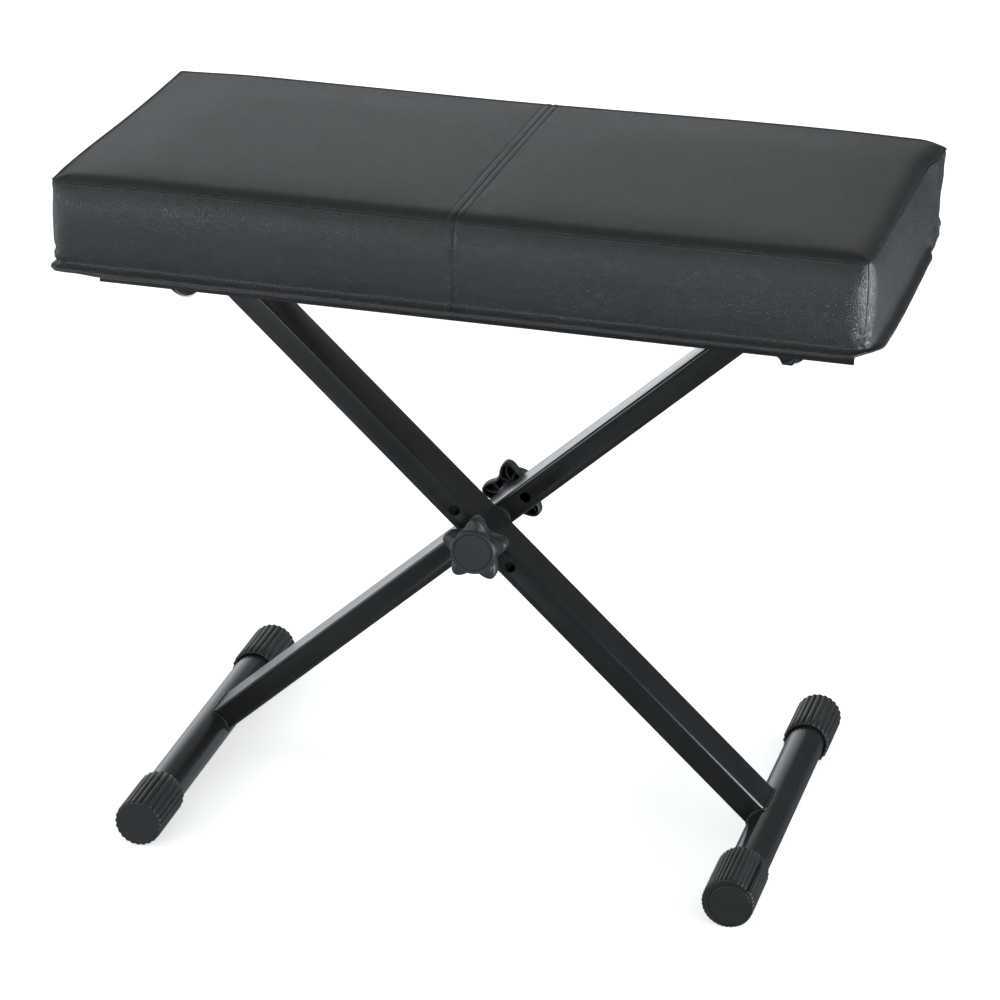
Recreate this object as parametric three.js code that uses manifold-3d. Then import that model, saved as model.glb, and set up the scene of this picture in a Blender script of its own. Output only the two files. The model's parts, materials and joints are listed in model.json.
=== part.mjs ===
// A folding keyboard bench: a padded seat on a steel cross frame that lies flat when folded.
// Millimetres, +Z up. X runs along the seat and Y from front to rear. The origin is on the
// floor under the middle of the bench. The front leg leans from upper left to lower right.

import * as THREE from 'three';
import { mergeVertices } from 'three/addons/utils/BufferGeometryUtils.js';
import Module from 'manifold-3d';

const wasm = await Module();
wasm.setup();

// Driving dimensions. Lengths in millimetres, angles in degrees.

// Shared fits
const touchGap = 0.3; // between pieces that rest on each other, and round a pin in its hole
const cutOverrun = 4; // how far a cutting tool runs past what it cuts

// Cross frame
const legSlopeDeg = 42.4; // each leg's slope from the floor
const legLowerLength = 313; // from the centre bolt to the foot tube
const legWidth = 20; // in the plane of the fold
const legDepth = 40; // along the bolt
const legWall = 1.5;
const legCornerRadius = 2.5;
const legEndReach = 10; // leg tube's upper end past the crossbar's axis
const legSpacing = 3; // between the two legs
const heightHolePitch = 30.4; // between the three bolt holes of a leg
const footLength = 357; // over the rubber caps
const footTubeRadius = 15;
const crossbarRadius = 11;
const roundTubeWall = 1.5;

// Centre clamp
const boltRadius = 4;
const boltHeadThickness = 5.3;
const boltNutThickness = 6.4;
const boltHexRadius = 7.5; // across the corners
const clampWasherRadius = 10;
const washerThickness = 1.6;
const spacerRadius = 12;
const knobTipRadius = 26;
const knobValleyRadius = 17.5;
const knobHeight = 27.4;
const knobLobeCount = 5;
const knobLobeBack = 12; // from the hub's back to the lobes
const knobLobeDepth = 11.5;
const knobEdgeRadius = 3;
const knobWall = 2.4;
const knobTipWall = 3.4; // at the tips of the lobes
const knobHubRadius = 11;
const knobRibThickness = 1.8;
const knobFaceRadius = 16.6;
const knobFaceSlope = 2.6; // how much wider the face's boss is at the lobes
const knobDiscRadius = 14.4;
const knobDiscThickness = 2;
const knobPocketDepth = 7;
const frontKnobTurnDeg = 90;
const rearKnobTurnDeg = 107;

// Foot caps
const capRadius = 18.5; // to the flats of the ribs
const capLength = 58;
const capEndWall = 4;
const capRibCount = 24;
const capRibDepth = 1.3;
const capChamfer = 1.4;
const levelCapRadius = 20;
const levelCapRibCount = 36;
const levelCapRibDepth = 0.9;
const levelCapOffset = 2.4; // bore's axis from the cap's own axis
const levelRingRadius = 16.9; // ring pressed into the cap's face
const levelRingWidth = 0.9;
const levelGrooveWidth = 2.6; // marker groove along the cap
const levelGrooveDepth = 1.9;
const levelGrooveTurnDeg = 48; // from the top towards the outside

// Seat
const seatLength = 610;
const seatDepth = 300;
const seatOverhang = 71.5; // from the crossbar's axis to the seat's end
const padHeight = 68.5; // from the cover's underside to the top seam
const seatCornerRadius = 13;
const crownHeight = 3;
const sideBulge = 1.8;
const sideDrawIn = 1.6; // how far the sides pull in between the corners
const coverThickness = 1.5;
const welt = { height: 3.2, flare: 2.2, grooveHeight: 7.5, grooveDepth: 1.6 };
const topSeamDrop = 4;
const topEdgeRoll = 5;
const centreSeam = { halfWidth: 4.5, depth: 1.3 };
const coverTurnIn = 16; // how far the cover reaches under the board at the seat's ends
const boardThickness = 12;
const hingeBelowBoard = 36.6; // crossbar's axis below the board

// Seat ironwork
const railFace = 97; // outer face of a rail's web from the middle
const railThickness = 2.5;
const railFlange = 22.5; // reaches inwards under the board
const railDrop = 27; // rail's lower edge below the board
const railEndMargin = 18; // from the seat's end
const railToCover = 21; // from a rail's web to the turned-in cover
const railBendRadius = 3;
const bracketThickness = 3;
const bracketHalfLength = 22;
const bracketEarRadius = 14;
const bracketEarRise = 5.5; // centre of the ear's lower arc above the hinge bolt
const bracketEarOuterFace = 59;
const bracketBendRadius = 4;
const hingeBoltRadius = 4;
const hingeHeadRadius = 7.5;
const hingeHeadThickness = 3.6;
const hingeNutRadius = 7.5; // across the corners
const hingeNutThickness = 8;
const hingeWasherRadius = 8;
const bushFlangeThickness = 2;
const bushLength = 12;
const screwRadius = 2.2;
const screwHeadRadius = 4.4;
const screwHeadThickness = 2.8;
const screwDepth = 10; // into the board
const railScrewShares = [-0.88, 0, 0.88]; // of half the rail

// Facets
const tubeSides = 36;
const smallSides = 20;
const screwSides = 12;
const cornerSteps = 3;

// Places worked out from the driving dimensions
const slope = THREE.MathUtils.degToRad(legSlopeDeg);
const footAxisHeight = capRadius;
const footAxisX = legLowerLength * Math.cos(slope);
const pivotHeight = footAxisHeight + legLowerLength * Math.sin(slope);
const crossbarX = seatLength / 2 - seatOverhang;
const crossbarDrop = legWidth / 2 + crossbarRadius; // its axis below the leg's centre line
const legUpperLength = (crossbarX - crossbarDrop * Math.sin(slope)) / Math.cos(slope);
const crossbarHeight =
  pivotHeight + legUpperLength * Math.sin(slope) - crossbarDrop * Math.cos(slope);
const boardUnderside = crossbarHeight + hingeBelowBoard;
const coverUnderside = boardUnderside - touchGap - coverThickness;
const legInnerFace = legSpacing / 2;
const legOuterFace = legInnerFace + legDepth;
const boltHoleRadius = boltRadius + touchGap;
const hingeHoleRadius = hingeBoltRadius + touchGap;
const bracketEarInnerFace = bracketEarOuterFace - bracketThickness;
const crossbarHalfLength = bracketEarInnerFace - 2 * touchGap - bushFlangeThickness;
const knobBack = legOuterFace + 2 * touchGap + washerThickness;
const knobFront = knobBack + knobHeight;
const knobPocketFloor = knobFront - knobDiscThickness - knobPocketDepth;

// Finishes
function finish(color, roughness, metalness) {
  return new THREE.MeshStandardMaterial({ color, roughness, metalness });
}

const blackPaint = () => finish(0x1c1d1f, 0.42, 0.55);
const zincSteel = () => finish(0x9a9c9e, 0.35, 0.9);
const blackSteel = () => finish(0x2a2b2d, 0.4, 0.8);
const blackVinyl = () => finish(0x3a3d3e, 0.6, 0);
const foamGrey = () => finish(0x8c8c86, 0.95, 0);
const plywood = () => finish(0xb08d5f, 0.8, 0);
const blackRubber = () => finish(0x26282a, 0.7, 0);
const darkPlastic = () => finish(0x3b3f41, 0.6, 0);
const whiteNylon = () => finish(0xd8d8d0, 0.5, 0);

// Solids and booleans
function toSolid(geometry) {
  const bare = geometry.clone();
  for (const name of Object.keys(bare.attributes)) {
    if (name !== 'position') bare.deleteAttribute(name);
  }
  const merged = mergeVertices(bare);
  return new wasm.Manifold(new wasm.Mesh({
    numProp: 3,
    vertProperties: new Float32Array(merged.attributes.position.array),
    triVerts: new Uint32Array(merged.index.array),
  }));
}

function toGeometry(solid) {
  const { vertProperties, triVerts } = solid.getMesh();
  const geometry = new THREE.BufferGeometry();
  geometry.setAttribute('position', new THREE.BufferAttribute(new Float32Array(vertProperties), 3));
  geometry.setIndex(new THREE.BufferAttribute(new Uint32Array(triVerts), 1));
  geometry.computeVertexNormals();
  return geometry;
}

function join(geometries) {
  return toGeometry(geometries.map(toSolid).reduce((whole, piece) => whole.add(piece)));
}

function cut(geometry, tools) {
  return toGeometry(tools.map(toSolid).reduce((whole, tool) => whole.subtract(tool), toSolid(geometry)));
}

// Primitive forms
function box(xFrom, xTo, yFrom, yTo, zFrom, zTo) {
  const geometry = new THREE.BoxGeometry(xTo - xFrom, yTo - yFrom, zTo - zFrom);
  return geometry.translate((xFrom + xTo) / 2, (yFrom + yTo) / 2, (zFrom + zTo) / 2);
}

// A round bar along Y
function bar(radius, yFrom, yTo, x = 0, z = 0, sides = tubeSides) {
  const geometry = new THREE.CylinderGeometry(radius, radius, yTo - yFrom, sides);
  return geometry.translate(x, (yFrom + yTo) / 2, z);
}

// A hexagonal bar along Y with one corner down
function hexBar(cornerRadius, yFrom, yTo, x = 0, z = 0) {
  return bar(cornerRadius, yFrom, yTo, x, z, 6);
}

// A round bar along Z
function post(radius, zFrom, zTo, x, y, sides = screwSides) {
  const geometry = new THREE.CylinderGeometry(radius, radius, zTo - zFrom, sides);
  return geometry.rotateX(Math.PI / 2).translate(x, y, (zFrom + zTo) / 2);
}

// An outline in X and Z, extruded along Y
function slabAlongY(shape, yFrom, yTo, options = {}) {
  const settings = { depth: yTo - yFrom, bevelEnabled: false, curveSegments: 8, ...options };
  const geometry = new THREE.ExtrudeGeometry(shape, settings);
  return geometry.rotateX(Math.PI / 2).translate(0, yTo, 0);
}

// An outline in Y and Z, extruded along X
function slabAlongX(shape, xFrom, xTo) {
  const settings = { depth: xTo - xFrom, bevelEnabled: false, curveSegments: cornerSteps };
  const geometry = new THREE.ExtrudeGeometry(shape, settings);
  const turn = new THREE.Matrix4().makeBasis(
    new THREE.Vector3(0, 1, 0), new THREE.Vector3(0, 0, 1), new THREE.Vector3(1, 0, 0));
  return geometry.applyMatrix4(turn).translate(xFrom, 0, 0);
}

// A tube along Y, open at both ends
function tubeAlongY(radius, wall, yFrom, yTo) {
  const inner = radius - wall;
  const section = [
    new THREE.Vector2(inner, yFrom), new THREE.Vector2(radius, yFrom),
    new THREE.Vector2(radius, yTo), new THREE.Vector2(inner, yTo), new THREE.Vector2(inner, yFrom),
  ];
  return new THREE.LatheGeometry(section, tubeSides);
}

// A ring along Y
function ringAlongY(radius, bore, yFrom, yTo, sides = smallSides) {
  const section = [
    new THREE.Vector2(bore, yFrom), new THREE.Vector2(radius, yFrom),
    new THREE.Vector2(radius, yTo), new THREE.Vector2(bore, yTo), new THREE.Vector2(bore, yFrom),
  ];
  return new THREE.LatheGeometry(section, sides);
}

function roundedRectangle(width, height, radius, path = new THREE.Shape()) {
  const x = width / 2;
  const y = height / 2;
  path.moveTo(radius - x, -y);
  path.lineTo(x - radius, -y);
  path.absarc(x - radius, radius - y, radius, -Math.PI / 2, 0);
  path.lineTo(x, y - radius);
  path.absarc(x - radius, y - radius, radius, 0, Math.PI / 2);
  path.lineTo(radius - x, y);
  path.absarc(radius - x, y - radius, radius, Math.PI / 2, Math.PI);
  path.lineTo(-x, radius - y);
  path.absarc(radius - x, radius - y, radius, Math.PI, 1.5 * Math.PI);
  return path;
}

const bench = new THREE.Group();

function addPiece(parent, name, geometry, material) {
  const mesh = new THREE.Mesh(geometry, material);
  mesh.name = name;
  parent.add(mesh);
  return mesh;
}

// Legs. A leg's own frame has its origin at the centre bolt, X along the tube and Z square to it.
// toFoot is 1 where the foot lies towards +X and -1 where it lies towards -X.
function legTube(toFoot, yFrom) {
  const section = roundedRectangle(legDepth, legWidth, legCornerRadius);
  section.holes.push(roundedRectangle(
    legDepth - 2 * legWall, legWidth - 2 * legWall, legCornerRadius - legWall, new THREE.Path()));
  const top = -toFoot * (legUpperLength + legEndReach);
  const bottom = toFoot * legLowerLength;
  const tube = slabAlongX(section, Math.min(top, bottom), Math.max(top, bottom));
  tube.translate(0, yFrom + legDepth / 2, 0);
  const cutFrom = yFrom - cutOverrun;
  const cutTo = yFrom + legDepth + cutOverrun;
  const tools = [-1, 0, 1].map(
    (step) => bar(boltHoleRadius, cutFrom, cutTo, step * heightHolePitch, 0, smallSides));
  tools.push(bar(footTubeRadius + touchGap, cutFrom, cutTo, bottom, 0));
  tools.push(bar(crossbarRadius + touchGap, cutFrom, cutTo, -toFoot * legUpperLength, -crossbarDrop));
  return cut(tube, tools);
}

function addLeg(name, toFoot, yFrom) {
  const frame = new THREE.Group();
  frame.position.z = pivotHeight;
  frame.rotation.y = toFoot * slope;
  addPiece(frame, name, legTube(toFoot, yFrom), blackPaint());
  bench.add(frame);
}

function addFootTube(name, x) {
  const half = footLength / 2 - capEndWall - touchGap;
  const tube = addPiece(bench, name, tubeAlongY(footTubeRadius, roundTubeWall, -half, half), blackPaint());
  tube.position.set(x, 0, footAxisHeight);
}

// Crossbars. Each turns on a long bolt, between the ears of a bracket.
function bush(side) {
  const inside = crossbarHalfLength - bushLength;
  const flangeFrom = crossbarHalfLength + touchGap;
  const body = crossbarRadius - roundTubeWall - touchGap;
  const section = [
    new THREE.Vector2(hingeHoleRadius, side * inside),
    new THREE.Vector2(body, side * inside),
    new THREE.Vector2(body, side * flangeFrom),
    new THREE.Vector2(crossbarRadius, side * flangeFrom),
    new THREE.Vector2(crossbarRadius, side * (flangeFrom + bushFlangeThickness)),
    new THREE.Vector2(hingeHoleRadius, side * (flangeFrom + bushFlangeThickness)),
    new THREE.Vector2(hingeHoleRadius, side * inside),
  ];
  if (side < 0) section.reverse();
  return new THREE.LatheGeometry(section, smallSides);
}

// The bolt's rounded head is at the front where headSide is -1, and its nut is at the other end.
function hingeBolt(headSide) {
  const seat = bracketEarOuterFace + touchGap;
  const tip = bracketEarOuterFace + 3 * touchGap + washerThickness + hingeNutThickness;
  const rimShare = 0.72; // of the head's radius that is its flat top
  const rim = hingeHeadRadius * rimShare;
  const section = [
    new THREE.Vector2(0, -headSide * tip),
    new THREE.Vector2(hingeBoltRadius, -headSide * tip),
    new THREE.Vector2(hingeBoltRadius, headSide * seat),
    new THREE.Vector2(hingeHeadRadius, headSide * seat),
    new THREE.Vector2(hingeHeadRadius, headSide * (seat + hingeHeadThickness / 3)),
    new THREE.Vector2(rim, headSide * (seat + hingeHeadThickness)),
    new THREE.Vector2(0, headSide * (seat + hingeHeadThickness)),
  ];
  if (headSide < 0) section.reverse();
  return new THREE.LatheGeometry(section, smallSides);
}

function addCrossbar(side, sideName, headSide) {
  const frame = new THREE.Group();
  frame.position.set(side * crossbarX, 0, crossbarHeight);
  const tube = tubeAlongY(crossbarRadius, roundTubeWall, -crossbarHalfLength, crossbarHalfLength);
  addPiece(frame, `crossbar_${sideName}`, tube, blackPaint());
  addPiece(frame, `bush_${sideName}_front`, bush(-1), whiteNylon());
  addPiece(frame, `bush_${sideName}_rear`, bush(1), whiteNylon());
  addPiece(frame, `hinge_bolt_${sideName}`, hingeBolt(headSide), blackSteel());
  const washerFrom = bracketEarOuterFace + touchGap;
  const nutFrom = washerFrom + washerThickness + touchGap;
  const onNutSide = (from, thickness) => (headSide < 0
    ? [from, from + thickness] : [-from - thickness, -from]);
  const washer = ringAlongY(hingeWasherRadius, hingeHoleRadius, ...onNutSide(washerFrom, washerThickness));
  addPiece(frame, `hinge_washer_${sideName}`, washer, zincSteel());
  const [nutStart, nutEnd] = onNutSide(nutFrom, hingeNutThickness);
  const nut = cut(hexBar(hingeNutRadius, nutStart, nutEnd),
    [bar(hingeHoleRadius, nutStart - cutOverrun, nutEnd + cutOverrun, 0, 0, smallSides)]);
  nut.rotateY(Math.PI / 6); // one flat down
  addPiece(frame, `hinge_nut_${sideName}`, nut, blackSteel());
  bench.add(frame);
}

// Centre clamp. A knob's own frame has its back at Y 0 and its face towards +Y.
function starOutline(tip, valley, turn) {
  const steps = 60;
  const sharpness = 1.25;
  const points = [];
  for (let i = 0; i < steps; i += 1) {
    const angle = (2 * Math.PI * i) / steps;
    const rise = ((1 + Math.cos(knobLobeCount * angle)) / 2) ** sharpness;
    const radius = valley + (tip - valley) * rise;
    points.push(new THREE.Vector2(radius * Math.cos(angle + turn), radius * Math.sin(angle + turn)));
  }
  return new THREE.Shape(points);
}

function knobBody(turn) {
  const lobeFront = knobLobeBack + knobLobeDepth;
  const lobes = slabAlongY(
    starOutline(knobTipRadius - knobEdgeRadius, knobValleyRadius - knobEdgeRadius, turn),
    knobLobeBack + knobEdgeRadius, lobeFront - knobEdgeRadius,
    { bevelEnabled: true, bevelThickness: knobEdgeRadius, bevelSize: knobEdgeRadius, bevelSegments: 2 });
  const hollowFront = lobeFront - knobWall;
  const hollow = slabAlongY(
    starOutline(knobTipRadius - knobTipWall, knobValleyRadius - knobWall, turn), -cutOverrun, hollowFront);
  const boss = new THREE.LatheGeometry([
    new THREE.Vector2(0, hollowFront),
    new THREE.Vector2(knobFaceRadius + knobFaceSlope - knobWall, hollowFront),
    new THREE.Vector2(knobFaceRadius + knobFaceSlope - knobWall, lobeFront - knobWall / 2),
    new THREE.Vector2(knobFaceRadius, knobHeight - knobWall / 2),
    new THREE.Vector2(knobFaceRadius - knobWall / 2, knobHeight),
    new THREE.Vector2(0, knobHeight),
  ], tubeSides);
  const ribReach = knobTipRadius - knobWall - knobEdgeRadius;
  const ribs = [];
  for (let i = 0; i < knobLobeCount; i += 1) {
    const rib = box(0, ribReach, knobLobeBack + knobEdgeRadius, hollowFront + knobWall / 2,
      -knobRibThickness / 2, knobRibThickness / 2);
    ribs.push(rib.rotateY(-turn - (2 * Math.PI * i) / knobLobeCount));
  }
  const hub = bar(knobHubRadius, 0, lobeFront, 0, 0, smallSides);
  const shell = cut(lobes, [hollow]);
  const whole = join([shell, boss, hub, ...ribs]);
  const pocketFloor = knobHeight - knobDiscThickness - knobPocketDepth;
  return cut(whole, [
    bar(knobDiscRadius + touchGap, knobHeight - knobDiscThickness, knobHeight + cutOverrun),
    hexBar(boltHexRadius + touchGap, pocketFloor, knobHeight),
    bar(boltHoleRadius, -cutOverrun, knobHeight, 0, 0, smallSides),
  ]);
}

function knobDisc() {
  const back = knobHeight - knobDiscThickness + touchGap;
  return new THREE.LatheGeometry([
    new THREE.Vector2(0, back),
    new THREE.Vector2(knobDiscRadius, back),
    new THREE.Vector2(knobDiscRadius, knobHeight - touchGap),
    new THREE.Vector2(0, knobHeight - touchGap),
  ], tubeSides);
}

function addKnob(side, sideName, turnDeg) {
  const frame = new THREE.Group();
  frame.position.set(0, side * knobBack, pivotHeight);
  frame.rotation.z = side < 0 ? Math.PI : 0;
  addPiece(frame, `knob_${sideName}`, knobBody(THREE.MathUtils.degToRad(turnDeg)), darkPlastic());
  addPiece(frame, `knob_disc_${sideName}`, knobDisc(), darkPlastic());
  bench.add(frame);
  const washerFrom = side < 0 ? -legOuterFace - touchGap - washerThickness : legOuterFace + touchGap;
  const washer = ringAlongY(clampWasherRadius, boltHoleRadius, washerFrom, washerFrom + washerThickness);
  addPiece(bench, `clamp_washer_${sideName}`, washer, zincSteel()).position.z = pivotHeight;
}

function addCentreBolt() {
  const headFrom = knobPocketFloor + touchGap;
  const nutFrom = -headFrom - boltNutThickness;
  const bolt = join([
    bar(boltRadius, nutFrom, headFrom + boltHeadThickness / 2, 0, 0, smallSides),
    hexBar(boltHexRadius, headFrom, headFrom + boltHeadThickness),
  ]);
  addPiece(bench, 'centre_bolt', bolt, blackSteel()).position.z = pivotHeight;
  const nut = cut(hexBar(boltHexRadius, nutFrom, -headFrom),
    [bar(boltHoleRadius, nutFrom - cutOverrun, cutOverrun - headFrom, 0, 0, smallSides)]);
  addPiece(bench, 'knob_nut', nut, zincSteel()).position.z = pivotHeight;
  const spacer = ringAlongY(spacerRadius, boltHoleRadius, touchGap - legInnerFace, legInnerFace - touchGap);
  addPiece(bench, 'leg_spacer', spacer, darkPlastic()).position.z = pivotHeight;
}

// Foot caps. A cap's own frame has its open end at Y 0 and its closed end at capLength.
function ribbedOutline(radius, depth, ribs) {
  const landShare = 0.56; // of a rib's pitch that is its flat crest
  const halfLand = (Math.PI / ribs) * landShare;
  const points = [];
  for (let i = 0; i < ribs; i += 1) {
    const crest = (2 * Math.PI * i) / ribs - Math.PI / 2;
    const edge = radius / Math.cos(halfLand);
    const valley = crest + Math.PI / ribs;
    for (const angle of [crest - halfLand, crest + halfLand]) {
      points.push(new THREE.Vector2(edge * Math.cos(angle), edge * Math.sin(angle)));
    }
    points.push(new THREE.Vector2((radius - depth) * Math.cos(valley), (radius - depth) * Math.sin(valley)));
  }
  return new THREE.Shape(points);
}

function ribbedBody(radius, depth, ribs, chamfer) {
  const body = slabAlongY(ribbedOutline(radius, depth, ribs), 0, capLength);
  const nose = new THREE.LatheGeometry([
    new THREE.Vector2(0, -cutOverrun),
    new THREE.Vector2(radius + cutOverrun, -cutOverrun),
    new THREE.Vector2(radius + cutOverrun, capLength - chamfer - cutOverrun / 2),
    new THREE.Vector2(radius - chamfer - depth / 2, capLength),
    new THREE.Vector2(0, capLength),
  ], tubeSides);
  return toGeometry(toSolid(body).intersect(toSolid(nose)));
}

function footCap() {
  return cut(ribbedBody(capRadius, capRibDepth, capRibCount, capChamfer),
    [bar(footTubeRadius + touchGap, -cutOverrun, capLength - capEndWall)]);
}

// The bore sits off the cap's axis, so turning the cap lifts or lowers that corner of the bench.
function levellingCap(boreX, boreZ) {
  const body = ribbedBody(levelCapRadius, levelCapRibDepth, levelCapRibCount, capChamfer);
  const bore = bar(footTubeRadius + touchGap, -cutOverrun, capLength - capEndWall, boreX, boreZ);
  const ring = ringAlongY(levelRingRadius, levelRingRadius - levelRingWidth,
    capLength - levelRingWidth, capLength + cutOverrun, tubeSides);
  const groove = box(-levelGrooveWidth / 2, levelGrooveWidth / 2, -cutOverrun, capLength + cutOverrun,
    levelCapRadius - levelGrooveDepth, levelCapRadius + cutOverrun);
  groove.rotateY(-THREE.MathUtils.degToRad(levelGrooveTurnDeg));
  return cut(body, [bore, ring.translate(boreX, 0, boreZ), groove]);
}

function addFootCap(name, x, side) {
  const cap = addPiece(bench, name, footCap(), blackRubber());
  cap.position.set(x, side * (footLength / 2 - capLength), footAxisHeight);
  cap.rotation.z = side < 0 ? Math.PI : 0;
}

function addLevellingCap(name, x) {
  const lift = levelCapRadius - footAxisHeight;
  const across = Math.sqrt(levelCapOffset ** 2 - lift ** 2);
  const cap = addPiece(bench, name, levellingCap(-across, -lift), blackRubber());
  cap.position.set(x - across, capLength - footLength / 2, levelCapRadius);
  cap.rotation.z = Math.PI;
}

// Seat ironwork
function railSection(side) {
  const web = railFace - railThickness;
  const top = boardUnderside - touchGap;
  const bottom = boardUnderside - railDrop;
  const r = railBendRadius;
  const shape = new THREE.Shape();
  shape.moveTo(web, bottom);
  shape.lineTo(railFace, bottom);
  shape.lineTo(railFace, top - r);
  shape.absarc(railFace - r, top - r, r, 0, Math.PI / 2);
  shape.lineTo(railFace - railFlange, top);
  shape.lineTo(railFace - railFlange, top - railThickness);
  shape.lineTo(web, top - railThickness);
  if (side > 0) return shape;
  const mirrored = shape.extractPoints(cornerSteps).shape.map((p) => new THREE.Vector2(-p.x, p.y));
  return new THREE.Shape(mirrored);
}

function railScrewPlaces(side) {
  const halfRail = seatLength / 2 - railEndMargin;
  const y = side * (railFace - railFlange / 2);
  return railScrewShares.map((share) => [share * halfRail, y]);
}

function addRail(side, sideName) {
  const halfRail = seatLength / 2 - railEndMargin;
  const top = boardUnderside;
  const holes = railScrewPlaces(side).map(
    ([x, y]) => post(screwRadius + touchGap, top - railThickness - cutOverrun, top + cutOverrun, x, y));
  const rail = cut(slabAlongX(railSection(side), -halfRail, halfRail), holes);
  addPiece(bench, `rail_${sideName}`, rail, blackPaint());
}

// A bracket is a bent channel: a base against the board and two ears that hold the hinge bolt.
// The hook bracket's holes run out to its free edge, so that the folding crossbar can leave it.
function bracketScrewPlaces(side) {
  const y = (legOuterFace + bracketEarInnerFace) / 2;
  return [[side * crossbarX, -y], [side * crossbarX, y]];
}

function bracket(side, open) {
  const top = boardUnderside - touchGap;
  const outer = bracketEarOuterFace;
  const inner = bracketEarInnerFace;
  const ear = new THREE.Shape();
  ear.moveTo(-bracketHalfLength, top - crossbarHeight);
  ear.lineTo(-bracketHalfLength, bracketEarRise);
  ear.lineTo(-bracketEarRadius, bracketEarRise);
  ear.absarc(0, bracketEarRise, bracketEarRadius, Math.PI, 2 * Math.PI);
  ear.lineTo(bracketHalfLength, bracketEarRise);
  ear.lineTo(bracketHalfLength, top - crossbarHeight);
  const block = slabAlongY(ear, -outer, outer);
  const section = new THREE.Shape();
  const r = bracketBendRadius;
  const deep = hingeBelowBoard + bracketEarRadius + cutOverrun;
  section.moveTo(-inner, -deep);
  section.lineTo(inner, -deep);
  section.lineTo(inner, -bracketThickness - r);
  section.absarc(inner - r, -bracketThickness - r, r, 0, Math.PI / 2);
  section.lineTo(r - inner, -bracketThickness);
  section.absarc(r - inner, -bracketThickness - r, r, Math.PI / 2, Math.PI);
  const inside = slabAlongX(section, -bracketHalfLength - cutOverrun, bracketHalfLength + cutOverrun);
  inside.translate(0, 0, top - crossbarHeight);
  const tools = [
    inside,
    bar(hingeHoleRadius, -outer - cutOverrun, outer + cutOverrun, 0, 0, smallSides),
    ...bracketScrewPlaces(side).map(([, y]) => post(screwRadius + touchGap,
      top - crossbarHeight - bracketThickness - cutOverrun, top - crossbarHeight + cutOverrun, 0, y)),
  ];
  if (open) {
    tools.push(box(0, bracketHalfLength + cutOverrun, -outer - cutOverrun, outer + cutOverrun,
      -hingeHoleRadius, hingeHoleRadius));
  }
  return cut(block, tools).translate(side * crossbarX, 0, crossbarHeight);
}

function screw(underHead) {
  const shankTop = boardUnderside + screwDepth;
  const domeShare = 0.6;
  const section = [
    new THREE.Vector2(0, underHead - screwHeadThickness),
    new THREE.Vector2(screwHeadRadius * domeShare, underHead - screwHeadThickness),
    new THREE.Vector2(screwHeadRadius, underHead - screwHeadThickness * domeShare),
    new THREE.Vector2(screwHeadRadius, underHead),
    new THREE.Vector2(screwRadius, underHead),
    new THREE.Vector2(screwRadius, shankTop - 2 * screwRadius),
    new THREE.Vector2(0, shankTop),
  ];
  return new THREE.LatheGeometry(section, screwSides).rotateX(Math.PI / 2);
}

function addScrews() {
  const railUnder = boardUnderside - 2 * touchGap - railThickness;
  const bracketUnder = boardUnderside - 2 * touchGap - bracketThickness;
  const screws = [
    ...railScrewPlaces(-1).map((place, i) => [`rail_screw_front_${i + 1}`, railUnder, place]),
    ...railScrewPlaces(1).map((place, i) => [`rail_screw_rear_${i + 1}`, railUnder, place]),
    ...bracketScrewPlaces(-1).map((place, i) => [`bracket_screw_left_${i + 1}`, bracketUnder, place]),
    ...bracketScrewPlaces(1).map((place, i) => [`bracket_screw_right_${i + 1}`, bracketUnder, place]),
  ];
  for (const [name, underHead, [x, y]] of screws) {
    addPiece(bench, name, screw(underHead), zincSteel()).position.set(x, y, 0);
  }
}

// Seat. The pad's surface is a grid of columns along X and rows along Y, folded down its sides.
const bodyColumnShares = [0.16, 0.38, 0.6, 0.82, 1];
const rowShares = [-1, -0.86, -0.45, 0, 0.45, 0.86, 1];

// One column of the grid for each X: its place, its half depth and the side's outward direction
function padColumns(halfLength, halfDepth, radius) {
  const right = [{ x: centreSeam.halfWidth, edge: halfDepth, normal: [0, 1] }];
  for (const share of bodyColumnShares) {
    right.push({ x: share * (halfLength - radius), edge: halfDepth, normal: [0, 1] });
  }
  for (let step = 1; step <= cornerSteps; step += 1) {
    const turn = (step / cornerSteps) * (Math.PI / 2);
    const normal = [Math.sin(turn), Math.cos(turn)];
    const x = halfLength - radius + radius * normal[0];
    right.push({ x, edge: halfDepth - radius + radius * normal[1], normal });
  }
  const left = right.map(({ x, edge, normal }) => ({ x: -x, edge, normal: [-normal[0], normal[1]] }));
  return [...left.reverse(), { x: 0, edge: halfDepth, normal: [0, 1] }, ...right];
}

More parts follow.
